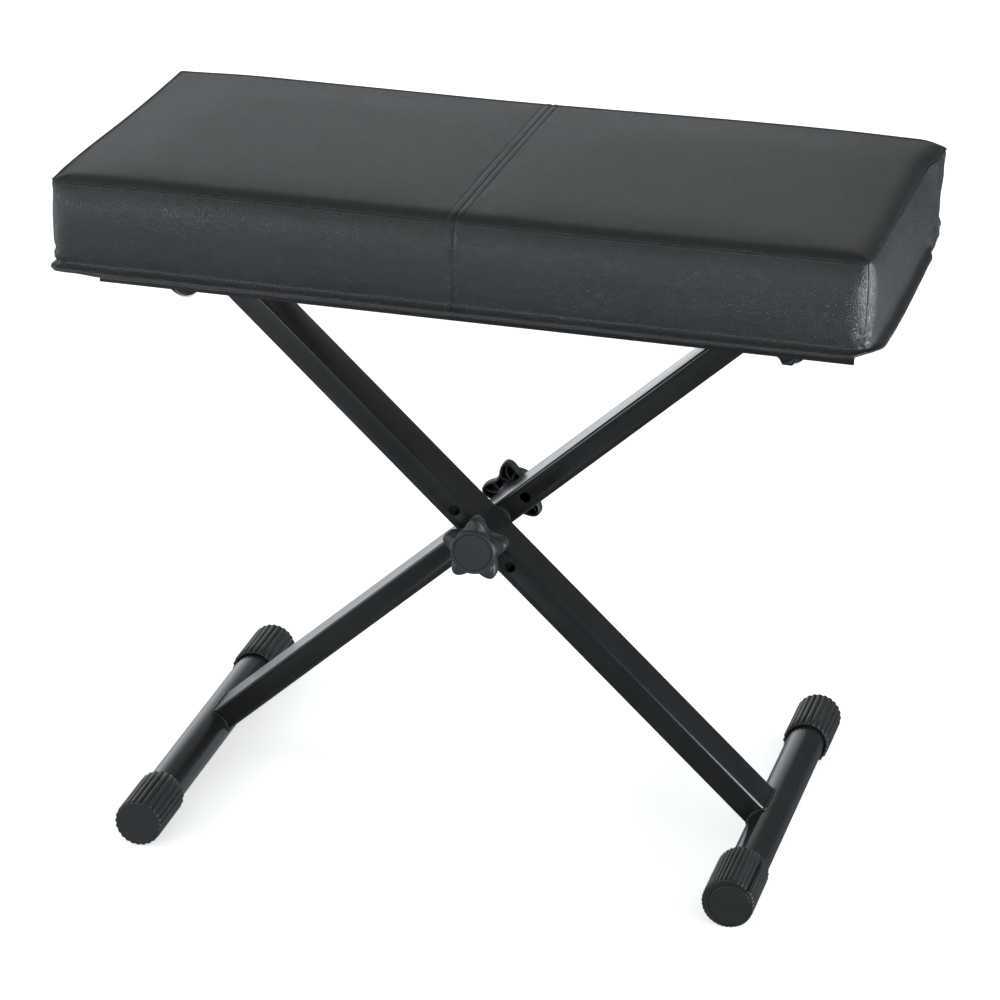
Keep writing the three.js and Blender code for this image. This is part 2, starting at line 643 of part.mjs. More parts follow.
// A closed pad. levels lists the sides' heights from the underside with their outward offsets.
function padSolid({ halfLength, halfDepth, radius, underside, levels, crown, seamDepth, drawIn }) {
  const columns = padColumns(halfLength, halfDepth, radius);
  const last = columns.length - 1;
  const lastRow = rowShares.length - 1;
  const positions = [];
  const index = [];
  const vertex = (x, y, z) => positions.push(x, y, z) / 3 - 1;
  const onSeam = (x) => (x === 0 ? seamDepth : 0);
  const cornerStart = halfLength - radius;
  // Inner points of the corner columns close up by as much as the rim of their face is drawn in
  const closeUp = (x, out) => {
    const past = Math.max(0, Math.abs(x) - cornerStart);
    return x - Math.sign(x) * past * ((drawIn - out) / radius);
  };

  const rim = [];
  for (let i = 0; i <= last; i += 1) rim.push([i, 0]);
  for (let j = 1; j <= lastRow; j += 1) rim.push([last, j]);
  for (let i = last - 1; i >= 0; i -= 1) rim.push([i, lastRow]);
  for (let j = lastRow - 1; j >= 1; j -= 1) rim.push([0, j]);

  const place = (i, j, out) => {
    const { x, edge, normal } = columns[i];
    const y = edge * rowShares[j];
    const onEnd = i === 0 || i === last;
    const onLong = j === 0 || j === lastRow;
    const nx = onEnd ? Math.sign(x) : normal[0];
    const ny = onEnd ? 0 : Math.sign(y) * normal[1];
    const middle = onLong && !onEnd ? 1 - (x / halfLength) ** 2 : 1 - (y / halfDepth) ** 2;
    const reach = out - drawIn * middle - (onLong ? onSeam(x) : 0);
    return [x + nx * reach, y + ny * reach];
  };

  const rings = levels.map(({ height, out }) => rim.map(([i, j]) => {
    const [x, y] = place(i, j, out);
    return vertex(x, y, underside + height);
  }));
  for (let level = 0; level < rings.length - 1; level += 1) {
    rim.forEach((_, k) => {
      const next = (k + 1) % rim.length;
      const [a, b] = [rings[level][k], rings[level][next]];
      const [c, d] = [rings[level + 1][k], rings[level + 1][next]];
      index.push(a, b, d, a, d, c);
    });
  }

  const cap = (ring, { height, out }, rise, flip) => {
    const ids = columns.map(() => []);
    rim.forEach(([i, j], k) => { ids[i][j] = ring[k]; });
    for (let i = 1; i < last; i += 1) {
      for (let j = 1; j < lastRow; j += 1) {
        const { x, edge } = columns[i];
        const y = edge * rowShares[j];
        const dome = (1 - (x / halfLength) ** 4) * (1 - (y / halfDepth) ** 2);
        const z = underside + height + rise * dome - (rise > 0 ? onSeam(x) : 0);
        ids[i][j] = vertex(closeUp(x, out), y, z);
      }
    }
    for (let i = 0; i < last; i += 1) {
      for (let j = 0; j < lastRow; j += 1) {
        const [a, b, c, d] = [ids[i][j], ids[i + 1][j], ids[i + 1][j + 1], ids[i][j + 1]];
        if (flip) index.push(a, c, b, a, d, c);
        else index.push(a, b, c, a, c, d);
      }
    }
  };
  cap(rings[0], levels[0], 0, true);
  cap(rings[rings.length - 1], levels[levels.length - 1], crown, false);

  const geometry = new THREE.BufferGeometry();
  geometry.setAttribute('position', new THREE.Float32BufferAttribute(positions, 3));
  geometry.setIndex(index);
  geometry.computeVertexNormals();
  return geometry;
}

const coverLevels = [
  { height: 0, out: welt.flare / 2 },
  { height: welt.height, out: welt.flare },
  { height: welt.grooveHeight, out: -welt.grooveDepth },
  { height: 2 * welt.grooveHeight, out: 0 },
  { height: padHeight / 2, out: sideBulge },
  { height: padHeight - 3 * topSeamDrop, out: sideBulge / 2 },
  { height: padHeight - topSeamDrop, out: 0 },
  { height: padHeight, out: -topEdgeRoll },
];
const cavityInset = coverThickness + welt.grooveDepth;

// What fills the cover: its hollow where grow is 0, or a pad clear of it where grow is negative
function filling(from, to, crown, grow) {
  const height = to - from;
  const shoulder = topSeamDrop + touchGap;
  return padSolid({
    halfLength: seatLength / 2 - cavityInset + grow,
    halfDepth: seatDepth / 2 - cavityInset + grow,
    radius: seatCornerRadius - cavityInset,
    underside: from,
    levels: [{ height: 0, out: 0 }, { height: height - shoulder, out: 0 }, { height, out: -topEdgeRoll }],
    crown,
    seamDepth: centreSeam.depth,
    drawIn: sideDrawIn,
  });
}

function addSeat() {
  const cavityFloor = coverUnderside + coverThickness;
  const cavityTop = coverUnderside + padHeight - coverThickness;
  const outside = padSolid({
    halfLength: seatLength / 2,
    halfDepth: seatDepth / 2,
    radius: seatCornerRadius,
    underside: coverUnderside,
    levels: coverLevels,
    crown: crownHeight,
    seamDepth: centreSeam.depth,
    drawIn: sideDrawIn,
  });
  const halfOpenX = seatLength / 2 - coverTurnIn;
  const halfOpenY = railFace + railToCover;
  const opening = box(-halfOpenX, halfOpenX, -halfOpenY, halfOpenY,
    coverUnderside - cutOverrun, cavityFloor + touchGap);
  const cover = cut(outside, [filling(cavityFloor, cavityTop, crownHeight, 0), opening]);
  addPiece(bench, 'seat_cover', cover, blackVinyl());

  const boardTop = boardUnderside + boardThickness;
  const foam = filling(boardTop + touchGap, cavityTop - touchGap, crownHeight, -touchGap);
  addPiece(bench, 'seat_foam', foam, foamGrey());

  const clear = cavityInset + sideDrawIn + touchGap;
  const outline = roundedRectangle(seatLength - 2 * clear, seatDepth - 2 * (clear + centreSeam.depth),
    seatCornerRadius - cavityInset);
  const plate = new THREE.ExtrudeGeometry(outline,
    { depth: boardThickness, bevelEnabled: false, curveSegments: cornerSteps });
  const places = [-1, 1].flatMap((side) => [...railScrewPlaces(side), ...bracketScrewPlaces(side)]);
  const holes = places.map(([x, y]) => post(screwRadius + touchGap,
    boardUnderside - cutOverrun, boardUnderside + screwDepth + touchGap, x, y));
  addPiece(bench, 'seat_board', cut(plate.translate(0, 0, boardUnderside), holes), plywood());
}

// The whole bench
addSeat();
addRail(-1, 'front');
addRail(1, 'rear');
addPiece(bench, 'hinge_bracket_left', bracket(-1, false), blackPaint());
addPiece(bench, 'hook_bracket_right', bracket(1, true), blackPaint());
addScrews();
addCrossbar(-1, 'left', -1);
addCrossbar(1, 'right', 1);
addLeg('leg_front', 1, -legOuterFace);
addLeg('leg_rear', -1, legInnerFace);
addFootTube('foot_tube_right', footAxisX);
addFootTube('foot_tube_left', -footAxisX);
addFootCap('foot_cap_left_front', -footAxisX, -1);
addFootCap('foot_cap_left_rear', -footAxisX, 1);
addFootCap('foot_cap_right_rear', footAxisX, 1);
addLevellingCap('levelling_cap', footAxisX);
addCentreBolt();
addKnob(-1, 'front', frontKnobTurnDeg);
addKnob(1, 'rear', rearKnobTurnDeg);

export default bench;
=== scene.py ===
import json
import math

import bpy
import numpy as np
from mathutils import Matrix, Vector
from mathutils.kdtree import KDTree


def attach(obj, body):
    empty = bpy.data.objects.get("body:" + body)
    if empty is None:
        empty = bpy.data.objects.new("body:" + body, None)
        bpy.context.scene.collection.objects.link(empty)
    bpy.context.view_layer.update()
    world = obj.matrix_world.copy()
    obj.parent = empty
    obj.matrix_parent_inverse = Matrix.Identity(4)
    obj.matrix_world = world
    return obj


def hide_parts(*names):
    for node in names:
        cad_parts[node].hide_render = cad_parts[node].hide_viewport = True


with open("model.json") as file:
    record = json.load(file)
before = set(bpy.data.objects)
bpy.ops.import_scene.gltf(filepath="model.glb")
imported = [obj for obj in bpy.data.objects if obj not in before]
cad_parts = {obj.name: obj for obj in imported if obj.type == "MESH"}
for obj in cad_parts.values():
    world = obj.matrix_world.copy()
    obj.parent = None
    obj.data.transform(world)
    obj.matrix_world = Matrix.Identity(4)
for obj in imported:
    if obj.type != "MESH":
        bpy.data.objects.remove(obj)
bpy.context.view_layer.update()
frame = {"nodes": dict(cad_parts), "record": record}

# A folding keyboard bench. Lengths below are in millimetres and are scaled by MM.
MM = 0.001
RNG = np.random.default_rng(11)

# Places from the CAD frame
SLOPE = math.radians(42.4)
FOOT_X = 231.137
FOOT_Z = 18.5
PIVOT_Z = 229.557
CROSSBAR_X = 233.5
CROSSBAR_Z = 414.334
CROSSBAR_RADIUS = 11.0
LEG_HALF_WIDTH = 10.0
LEG_INNER = 1.5
LEG_OUTER = 41.5
FOOT_TUBE_RADIUS = 15.0
FOOT_HALF = 178.5
CAP_LENGTH = 58.0

# Seat
HALF_LENGTH = 305.0
HALF_DEPTH = 150.0
UNDERSIDE = 449.15
SEAM_HEIGHT = 68.3
BOARD_UNDERSIDE = 450.934
OPEN_X = 289.0
OPEN_Y = 118.0


# Mesh helpers
def add_mesh(name, points, faces, material, body=None):
    mesh = bpy.data.meshes.new(name)
    mesh.from_pydata([tuple(p) for p in np.asarray(points, float) * MM], [], [tuple(f) for f in faces])
    mesh.materials.append(material)
    mesh.polygons.foreach_set("use_smooth", [True] * len(mesh.polygons))
    mesh.update()
    obj = bpy.data.objects.new(name, mesh)
    bpy.context.scene.collection.objects.link(obj)
    if body:
        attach(obj, body)
    return obj


def sharpen(obj, degrees):
    split = obj.modifiers.new("edges", "EDGE_SPLIT")
    split.split_angle = math.radians(degrees)


def ring_quads(rings, count, start=0, flip=False):
    """Quads between successive closed rings of vertices."""
    faces = []
    for r in range(rings - 1):
        for k in range(count):
            n = (k + 1) % count
            a, b = start + r * count + k, start + r * count + n
            c, d = start + (r + 1) * count + n, start + (r + 1) * count + k
            faces.append((a, d, c, b) if flip else (a, b, c, d))
    return faces


def capsules(starts, ends, normals, radius, sides=6):
    """Short rounded threads from starts to ends, a little flattened along normals."""
    points, faces = [], []
    profile = [(0.0, 0.0), (0.55, 0.06), (1.0, 0.22), (1.0, 0.78), (0.55, 0.94), (0.0, 1.0)]
    for p, q, n in zip(starts, ends, normals):
        along = q - p
        side = np.cross(along / np.linalg.norm(along), n)
        base = len(points)
        for share, t in profile:
            if share == 0.0:
                points.append(p + along * t)
                continue
            for k in range(sides):
                angle = 2 * math.pi * k / sides
                points.append(p + along * t + radius * share * (side * math.cos(angle) + 0.7 * n * math.sin(angle)))
        first, last = base, len(points) - 1
        for k in range(sides):
            m = (k + 1) % sides
            faces.append((first, base + 1 + k, base + 1 + m))
            for r in range(3):
                a = base + 1 + r * sides
                faces.append((a + k, a + sides + k, a + sides + m, a + m))
            faces.append((last, last - sides + m, last - sides + k))
    return np.array(points), faces


def along_path(path, normals, pitch, length, lift):
    """Stitch ends and normals along a polyline."""
    steps = np.linalg.norm(np.diff(path, axis=0), axis=1)
    travelled = np.concatenate([[0], np.cumsum(steps)])
    count = int(travelled[-1] / pitch)
    at = (np.arange(count) + 0.5) * travelled[-1] / count

    def sample(values, where):
        return np.stack([np.interp(where, travelled, values[:, i]) for i in range(3)], 1)

    n = sample(normals, at)
    n /= np.linalg.norm(n, axis=1)[:, None]
    starts = sample(path, at - length / 2) + n * lift
    ends = sample(path, at + length / 2) + n * lift
    return starts, ends, n


def swept(curve, radius, ripple, sides=10):
    """A closed bead of weld along a closed curve."""
    count = len(curve)
    ahead = np.roll(curve, -1, axis=0) - np.roll(curve, 1, axis=0)
    tangent = ahead / np.linalg.norm(ahead, axis=1)[:, None]
    steps = np.linalg.norm(np.roll(curve, -1, axis=0) - curve, axis=1)
    travelled = np.concatenate([[0], np.cumsum(steps)[:-1]])
    centre = curve.mean(0)
    out = curve - centre
    out -= (out * tangent).sum(1)[:, None] * tangent
    out /= np.linalg.norm(out, axis=1)[:, None]
    side = np.cross(tangent, out)
    size = radius * (1 + 0.13 * np.sin(2 * math.pi * travelled / ripple) + 0.05 * RNG.standard_normal(count))
    rings = []
    for k in range(sides):
        angle = 2 * math.pi * k / sides
        rings.append(curve + size[:, None] * (math.cos(angle) * out + math.sin(angle) * side))
    points = np.stack(rings, 1).reshape(-1, 3)
    faces = []
    for i in range(count):
        j = (i + 1) % count
        for k in range(sides):
            m = (k + 1) % sides
            faces.append((i * sides + k, i * sides + m, j * sides + m, j * sides + k))
    return points, faces


# Materials
def new_material(name):
    material = bpy.data.materials.new(name)
    material.use_nodes = True
    nodes = material.node_tree.nodes
    return material, nodes, material.node_tree.links, nodes["Principled BSDF"]


def object_coordinates(nodes, links, scale=(1, 1, 1)):
    coordinates = nodes.new("ShaderNodeTexCoord")
    mapping = nodes.new("ShaderNodeMapping")
    mapping.inputs["Scale"].default_value = scale
    links.new(coordinates.outputs["Object"], mapping.inputs["Vector"])
    return mapping.outputs["Vector"]


def noise(nodes, links, vector, scale, detail=3.0, roughness=0.55):
    node = nodes.new("ShaderNodeTexNoise")
    node.inputs["Scale"].default_value = scale
    node.inputs["Detail"].default_value = detail
    node.inputs["Roughness"].default_value = roughness
    links.new(vector, node.inputs["Vector"])
    return node.outputs["Fac"]


def ramp(nodes, links, source, low, high, start=0.0, end=1.0):
    node = nodes.new("ShaderNodeValToRGB")
    node.color_ramp.elements[0].position = start
    node.color_ramp.elements[0].color = (*low, 1)
    node.color_ramp.elements[1].position = end
    node.color_ramp.elements[1].color = (*high, 1)
    links.new(source, node.inputs["Fac"])
    return node.outputs["Color"]


def between(nodes, links, source, low, high):
    node = nodes.new("ShaderNodeMapRange")
    node.inputs["To Min"].default_value = low
    node.inputs["To Max"].default_value = high
    links.new(source, node.inputs["Value"])
    return node.outputs["Result"]


def bump(nodes, links, height, strength, distance, after=None):
    node = nodes.new("ShaderNodeBump")
    node.inputs["Strength"].default_value = strength
    node.inputs["Distance"].default_value = distance
    links.new(height, node.inputs["Height"])
    if after is not None:
        links.new(after, node.inputs["Normal"])
    return node.outputs["Normal"]


def vinyl():
    """Leatherette with a fine pebble grain."""
    material, nodes, links, shader = new_material("vinyl_leatherette")
    where = object_coordinates(nodes, links)
    bend = nodes.new("ShaderNodeVectorMath")
    bend.operation = "MULTIPLY_ADD"
    warp = nodes.new("ShaderNodeTexNoise")
    warp.inputs["Scale"].default_value = 240
    links.new(where, warp.inputs["Vector"])
    links.new(warp.outputs["Color"], bend.inputs[0])
    bend.inputs[1].default_value = (0.0011, 0.0011, 0.0011)
    links.new(where, bend.inputs[2])
    cells = nodes.new("ShaderNodeTexVoronoi")
    cells.feature = "DISTANCE_TO_EDGE"
    cells.inputs["Scale"].default_value = 700
    links.new(bend.outputs["Vector"], cells.inputs["Vector"])
    pebble = nodes.new("ShaderNodeMapRange")
    pebble.interpolation_type = "SMOOTHERSTEP"
    pebble.inputs["From Max"].default_value = 0.4
    links.new(cells.outputs["Distance"], pebble.inputs["Value"])
    pebble = pebble.outputs["Result"]
    fine = noise(nodes, links, where, 1500, 2.0)
    slow = noise(nodes, links, where, 9, 3.0)
    patches = noise(nodes, links, where, 160, 2.0)
    links.new(ramp(nodes, links, slow, (0.0125, 0.0142, 0.0148), (0.0165, 0.0185, 0.0192), 0.3, 0.7), shader.inputs["Base Color"])
    links.new(between(nodes, links, patches, 0.40, 0.50), shader.inputs["Roughness"])
    normal = bump(nodes, links, fine, 0.12, 0.0002)
    normal = bump(nodes, links, pebble, 0.8, 0.0004, normal)
    links.new(normal, shader.inputs["Normal"])
    shader.inputs["Specular IOR Level"].default_value = 0.8
    return material


def plain(name, low, high, rough_low, rough_high, grain_scale, grain_strength, metallic=0.0, specular=0.5,
          spot_scale=60, coat=0.0, stretch=(1, 1, 1)):
    """A finish with slow colour spots, uneven roughness and a fine surface grain."""
    material, nodes, links, shader = new_material(name)
    where = object_coordinates(nodes, links, stretch)
    spots = noise(nodes, links, where, spot_scale, 4.0)
    grain = noise(nodes, links, where, grain_scale, 3.0)
    links.new(ramp(nodes, links, spots, low, high, 0.3, 0.7), shader.inputs["Base Color"])
    links.new(between(nodes, links, spots, rough_low, rough_high), shader.inputs["Roughness"])
    links.new(bump(nodes, links, grain, grain_strength, 0.0002), shader.inputs["Normal"])
    shader.inputs["Metallic"].default_value = metallic
    shader.inputs["Specular IOR Level"].default_value = specular
    shader.inputs["Coat Weight"].default_value = coat
    return material


def plywood():
    material, nodes, links, shader = new_material("plywood")
    where = object_coordinates(nodes, links, (3, 60, 3))
    grain = noise(nodes, links, where, 8, 6.0, 0.65)
    layers = nodes.new("ShaderNodeTexWave")
    layers.bands_direction = "Z"
    layers.inputs["Scale"].default_value = 110
    layers.inputs["Distortion"].default_value = 0.6
    plies = object_coordinates(nodes, links)
    links.new(plies, layers.inputs["Vector"])
    wood = ramp(nodes, links, grain, (0.36, 0.24, 0.13), (0.56, 0.40, 0.24), 0.3, 0.75)
    mix = nodes.new("ShaderNodeMix")
    mix.data_type = "RGBA"
    mix.blend_type = "MULTIPLY"
    mix.inputs["Factor"].default_value = 0.25
    links.new(wood, mix.inputs["A"])
    links.new(layers.outputs["Color"], mix.inputs["B"])
    links.new(mix.outputs["Result"], shader.inputs["Base Color"])
    links.new(bump(nodes, links, grain, 0.2, 0.0003), shader.inputs["Normal"])
    shader.inputs["Roughness"].default_value = 0.75
    return material


VINYL = vinyl()
THREAD = plain("sewing_thread", (0.055, 0.059, 0.061), (0.09, 0.095, 0.098), 0.45, 0.6, 4000, 0.3, spot_scale=900)
PAINT = plain("black_powder_coat", (0.0095, 0.0102, 0.011), (0.0125, 0.0134, 0.0142), 0.2, 0.28, 1500, 0.05, spot_scale=35)
WELD = plain("painted_weld", (0.007, 0.0076, 0.0084), (0.012, 0.0128, 0.0136), 0.24, 0.36, 900, 0.15, spot_scale=200)
BLACK_STEEL = plain("blackened_steel", (0.05, 0.052, 0.056), (0.085, 0.088, 0.092), 0.24, 0.36, 1800, 0.06, metallic=0.9)
ZINC = plain("zinc_plate", (0.42, 0.43, 0.44), (0.56, 0.56, 0.55), 0.24, 0.36, 1600, 0.05, metallic=1.0, spot_scale=140)
RUBBER = plain("cap_rubber", (0.0135, 0.0148, 0.0155), (0.0195, 0.021, 0.0218), 0.40, 0.52, 1200, 0.12, spot_scale=90)
KNOB = plain("knob_plastic", (0.020, 0.0235, 0.025), (0.026, 0.0295, 0.031), 0.44, 0.54, 2600, 0.14, spot_scale=70)
NYLON = plain("nylon", (0.66, 0.66, 0.62), (0.76, 0.76, 0.72), 0.4, 0.5, 900, 0.08, spot_scale=50)
FOAM = plain("foam", (0.26, 0.26, 0.24), (0.36, 0.36, 0.33), 0.9, 0.95, 700, 0.6, spot_scale=300)
PLYWOOD = plywood()

SLOT_FINISH = {
    "vinyl": VINYL, "foam": FOAM, "plywood": PLYWOOD, "black_paint": PAINT, "black_steel": BLACK_STEEL,
    "zinc_steel": ZINC, "nylon": NYLON, "dark_plastic": KNOB, "rubber": RUBBER,
}
node_slot = {row["node"]: row["material_slot"] for row in frame["record"]["subparts"]}
for name, node in frame["nodes"].items():
    node.data.materials.clear()
    node.data.materials.append(SLOT_FINISH[node_slot[name]])
    normals = node.data.attributes.get("custom_normal")
    if normals is not None:
        node.data.attributes.remove(normals)
    node.data.polygons.foreach_set("use_smooth", [True] * len(node.data.polygons))
    weld = node.modifiers.new("join", "WELD")
    weld.merge_threshold = 0.00002
    if name.startswith(("leg_", "rail_", "hinge_", "hook_", "centre_bolt", "knob_nut")):
        bevel = node.modifiers.new("edges", "BEVEL")
        bevel.width = 0.0011 if name in ("rail_front", "rail_rear") else 0.0004
        bevel.segments = 2
        bevel.limit_method = "ANGLE"
        bevel.angle_limit = math.radians(40)
        bevel.use_clamp_overlap = True
    sharpen(node, 38)


# The seat's cover
EDGE_STEPS = [0.0, 0.4, 0.9, 1.5, 2.2, 3.0, 4.0, 5.2, 6.6, 8.2, 10.0, 12.0, 14.4, 17.0]
ROLL_WIDTH = 18.0
ROLL_RISE = 3.8
RIM_RAISE = 3.2
CROWN = 1.0
BAND_LEFT, BAND_RIGHT = -5.8, 5.2
SEAM_INSET = 1.3
TOP_CORNER = 4.0
CORNER_REACH = 24.0

# Height over the underside against the side's offset outwards, and against the corner's radius
SIDE_PROFILE = np.array([
    (0.0, 2.2), (0.5, 2.9), (1.3, 3.1), (2.2, 3.0), (2.8, 2.6), (3.4, 1.6), (4.0, 0.5), (4.8, -0.6), (5.6, -1.2),
    (6.4, -1.6), (7.4, -1.6),
    (9.4, -1.1), (13.0, -0.3), (19.0, 0.6), (28.0, 1.4), (40.0, 2.0), (50.0, 1.8), (56.0, 1.2), (60.0, 0.4), (63.5, -0.5),
    (65.6, -1.2), (66.6, -1.7), (67.3, -2.3), (67.8, -1.9), (68.3, -1.3)])
CORNER_RADII = np.array([
    (0.0, 5.0), (6.0, 8.0), (12.0, 8.5), (24.0, 12.0), (38.0, 14.0), (50.0, 13.0), (60.0, 9.0), (66.0, 5.5), (68.3, 4.0)])
# The same for the front right corner, which is the roundest
WIDE_RADII = np.array([
    (0.0, 15.0), (6.0, 14.0), (12.0, 15.0), (24.0, 17.0), (38.0, 18.0), (50.0, 17.0), (60.0, 13.0), (66.0, 8.0), (68.3, 4.0)])
# How much further the front and the rear stand out
LONG_SIDE_PROFILE = np.array([
    (0.0, 0.0), (12.0, 0.3), (25.0, 1.3), (38.0, 1.8), (46.0, 1.7), (52.0, 1.2), (57.0, 0.4), (61.0, -0.5), (64.0, -1.2),
    (66.0, -1.6), (68.3, -1.6)])


def half_lines(half, middle):
    """Grid lines from the middle to the edge, close together where they are sewn."""
    edge = [half - d for d in reversed(EDGE_STEPS)]
    body_start, body_end = middle[-1], edge[0]
    count = max(2, round((body_end - body_start) / 6.5))
    body = [body_start + (body_end - body_start) * k / count for k in range(1, count)]
    return middle + body + edge


def both_ways(positive):
    return np.array([-v for v in reversed(positive[1:])] + positive)


def edge_distance(x, y):
    """How far inside the seat's rounded outline a point of the top lies."""
    qx = np.abs(x) - (HALF_LENGTH - TOP_CORNER)
    qy = np.abs(y) - (HALF_DEPTH - TOP_CORNER)
    outside = np.hypot(np.maximum(qx, 0), np.maximum(qy, 0))
    return TOP_CORNER - outside - np.minimum(np.maximum(qx, qy), 0)


def round_corner(x, y):
    """Moves the grid's square corners onto the rounded outline."""
    sx, sy = np.sign(x), np.sign(y)
    px = np.maximum(np.abs(x) - (HALF_LENGTH - TOP_CORNER), 0)
    py = np.maximum(np.abs(y) - (HALF_DEPTH - TOP_CORNER), 0)
    length = np.hypot(px, py)
    share = np.where(length > 0, np.maximum(px, py) / np.where(length > 0, length, 1), 1)
    return x - sx * px * (1 - share), y - sy * py * (1 - share)


def bell(value, centre, width):
    return np.exp(-((value - centre) / width) ** 2)


def ease(value, start, end):
    t = np.clip((value - start) / (end - start), 0, 1)
    return t * t * (3 - 2 * t)


def wander(values, seed, wavelength):
    """A smooth wandering curve between -1 and 1."""
    random = np.random.default_rng(seed)
    total = np.zeros_like(values, float)
    for k in range(1, 6):
        total += random.uniform(-1, 1) / k * np.sin(values * 2 * math.pi * k / (wavelength * 3) + random.uniform(0, 6.3))
    return total / 1.4


def raised(x, y):
    """Where the rim stands higher than at the front and the right: 1 at the rear and the left."""
    return ease(y, -150, -122) * (1 - ease(x, 286, 303))


def top_height(x, y):
    d = np.clip(edge_distance(x, y), 0, ROLL_WIDTH) / ROLL_WIDTH
    roll = (ROLL_RISE - RIM_RAISE * raised(x, y)) * (1 - (1 - d) ** 1.7)
    dome = CROWN * (1 - np.abs(x / HALF_LENGTH) ** 4) * (1 - (y / HALF_DEPTH) ** 2)
    bead = 0.6 * bell(edge_distance(x, y), 1.0, 0.9)
    return UNDERSIDE + SEAM_HEIGHT + roll + dome + bead


def corner_length(radius):
    return 2 * (CORNER_REACH - radius) + radius * math.pi / 2


def corner_place(share, radius):
    """A point and normal on a corner, share going from its long side (0) to its end (1)."""
    straight = CORNER_REACH - radius
    total = corner_length(radius)
    s = share * total
    angle = np.clip((s - straight) / radius, 0, math.pi / 2)
    before, after = s < straight, s > total - straight
    u = np.where(before, s, np.where(after, CORNER_REACH, straight + radius * np.sin(angle)))
    v = np.where(before, CORNER_REACH, np.where(after, total - s, straight + radius * np.cos(angle)))
    return u, v, np.sin(angle), np.cos(angle)


class Rim:
    """The outline of the seat, whose corners may have another radius at each height."""

    def __init__(self, x, y):
        self.x, self.y = x, y
        u = np.abs(x) - (HALF_LENGTH - CORNER_REACH)
        v = np.abs(y) - (HALF_DEPTH - CORNER_REACH)
        self.cornered = (u > 0) & (v > 0)
        straight = CORNER_REACH - TOP_CORNER
        total = corner_length(TOP_CORNER)
        arc = straight + TOP_CORNER * np.arctan2(u - straight, v - straight)
        s = np.where(u <= straight, u, np.where(v <= straight, total - v, arc))
        self.share = np.where(self.cornered, s / total, np.where(u > v, 1.0, 0.0))

    def at(self, height):
        wide = (self.x > 0) & (self.y < 0)
        radius = np.where(wide, np.interp(height, *WIDE_RADII.T), np.interp(height, *CORNER_RADII.T))
        u, v, nu, nv = corner_place(self.share, radius)
        x = np.where(self.cornered, np.sign(self.x) * (HALF_LENGTH - CORNER_REACH + u), self.x)
        y = np.where(self.cornered, np.sign(self.y) * (HALF_DEPTH - CORNER_REACH + v), self.y)
        out = np.stack([np.sign(self.x) * nu, np.sign(self.y) * nv, np.zeros_like(x)], 1)
        return x, y, out


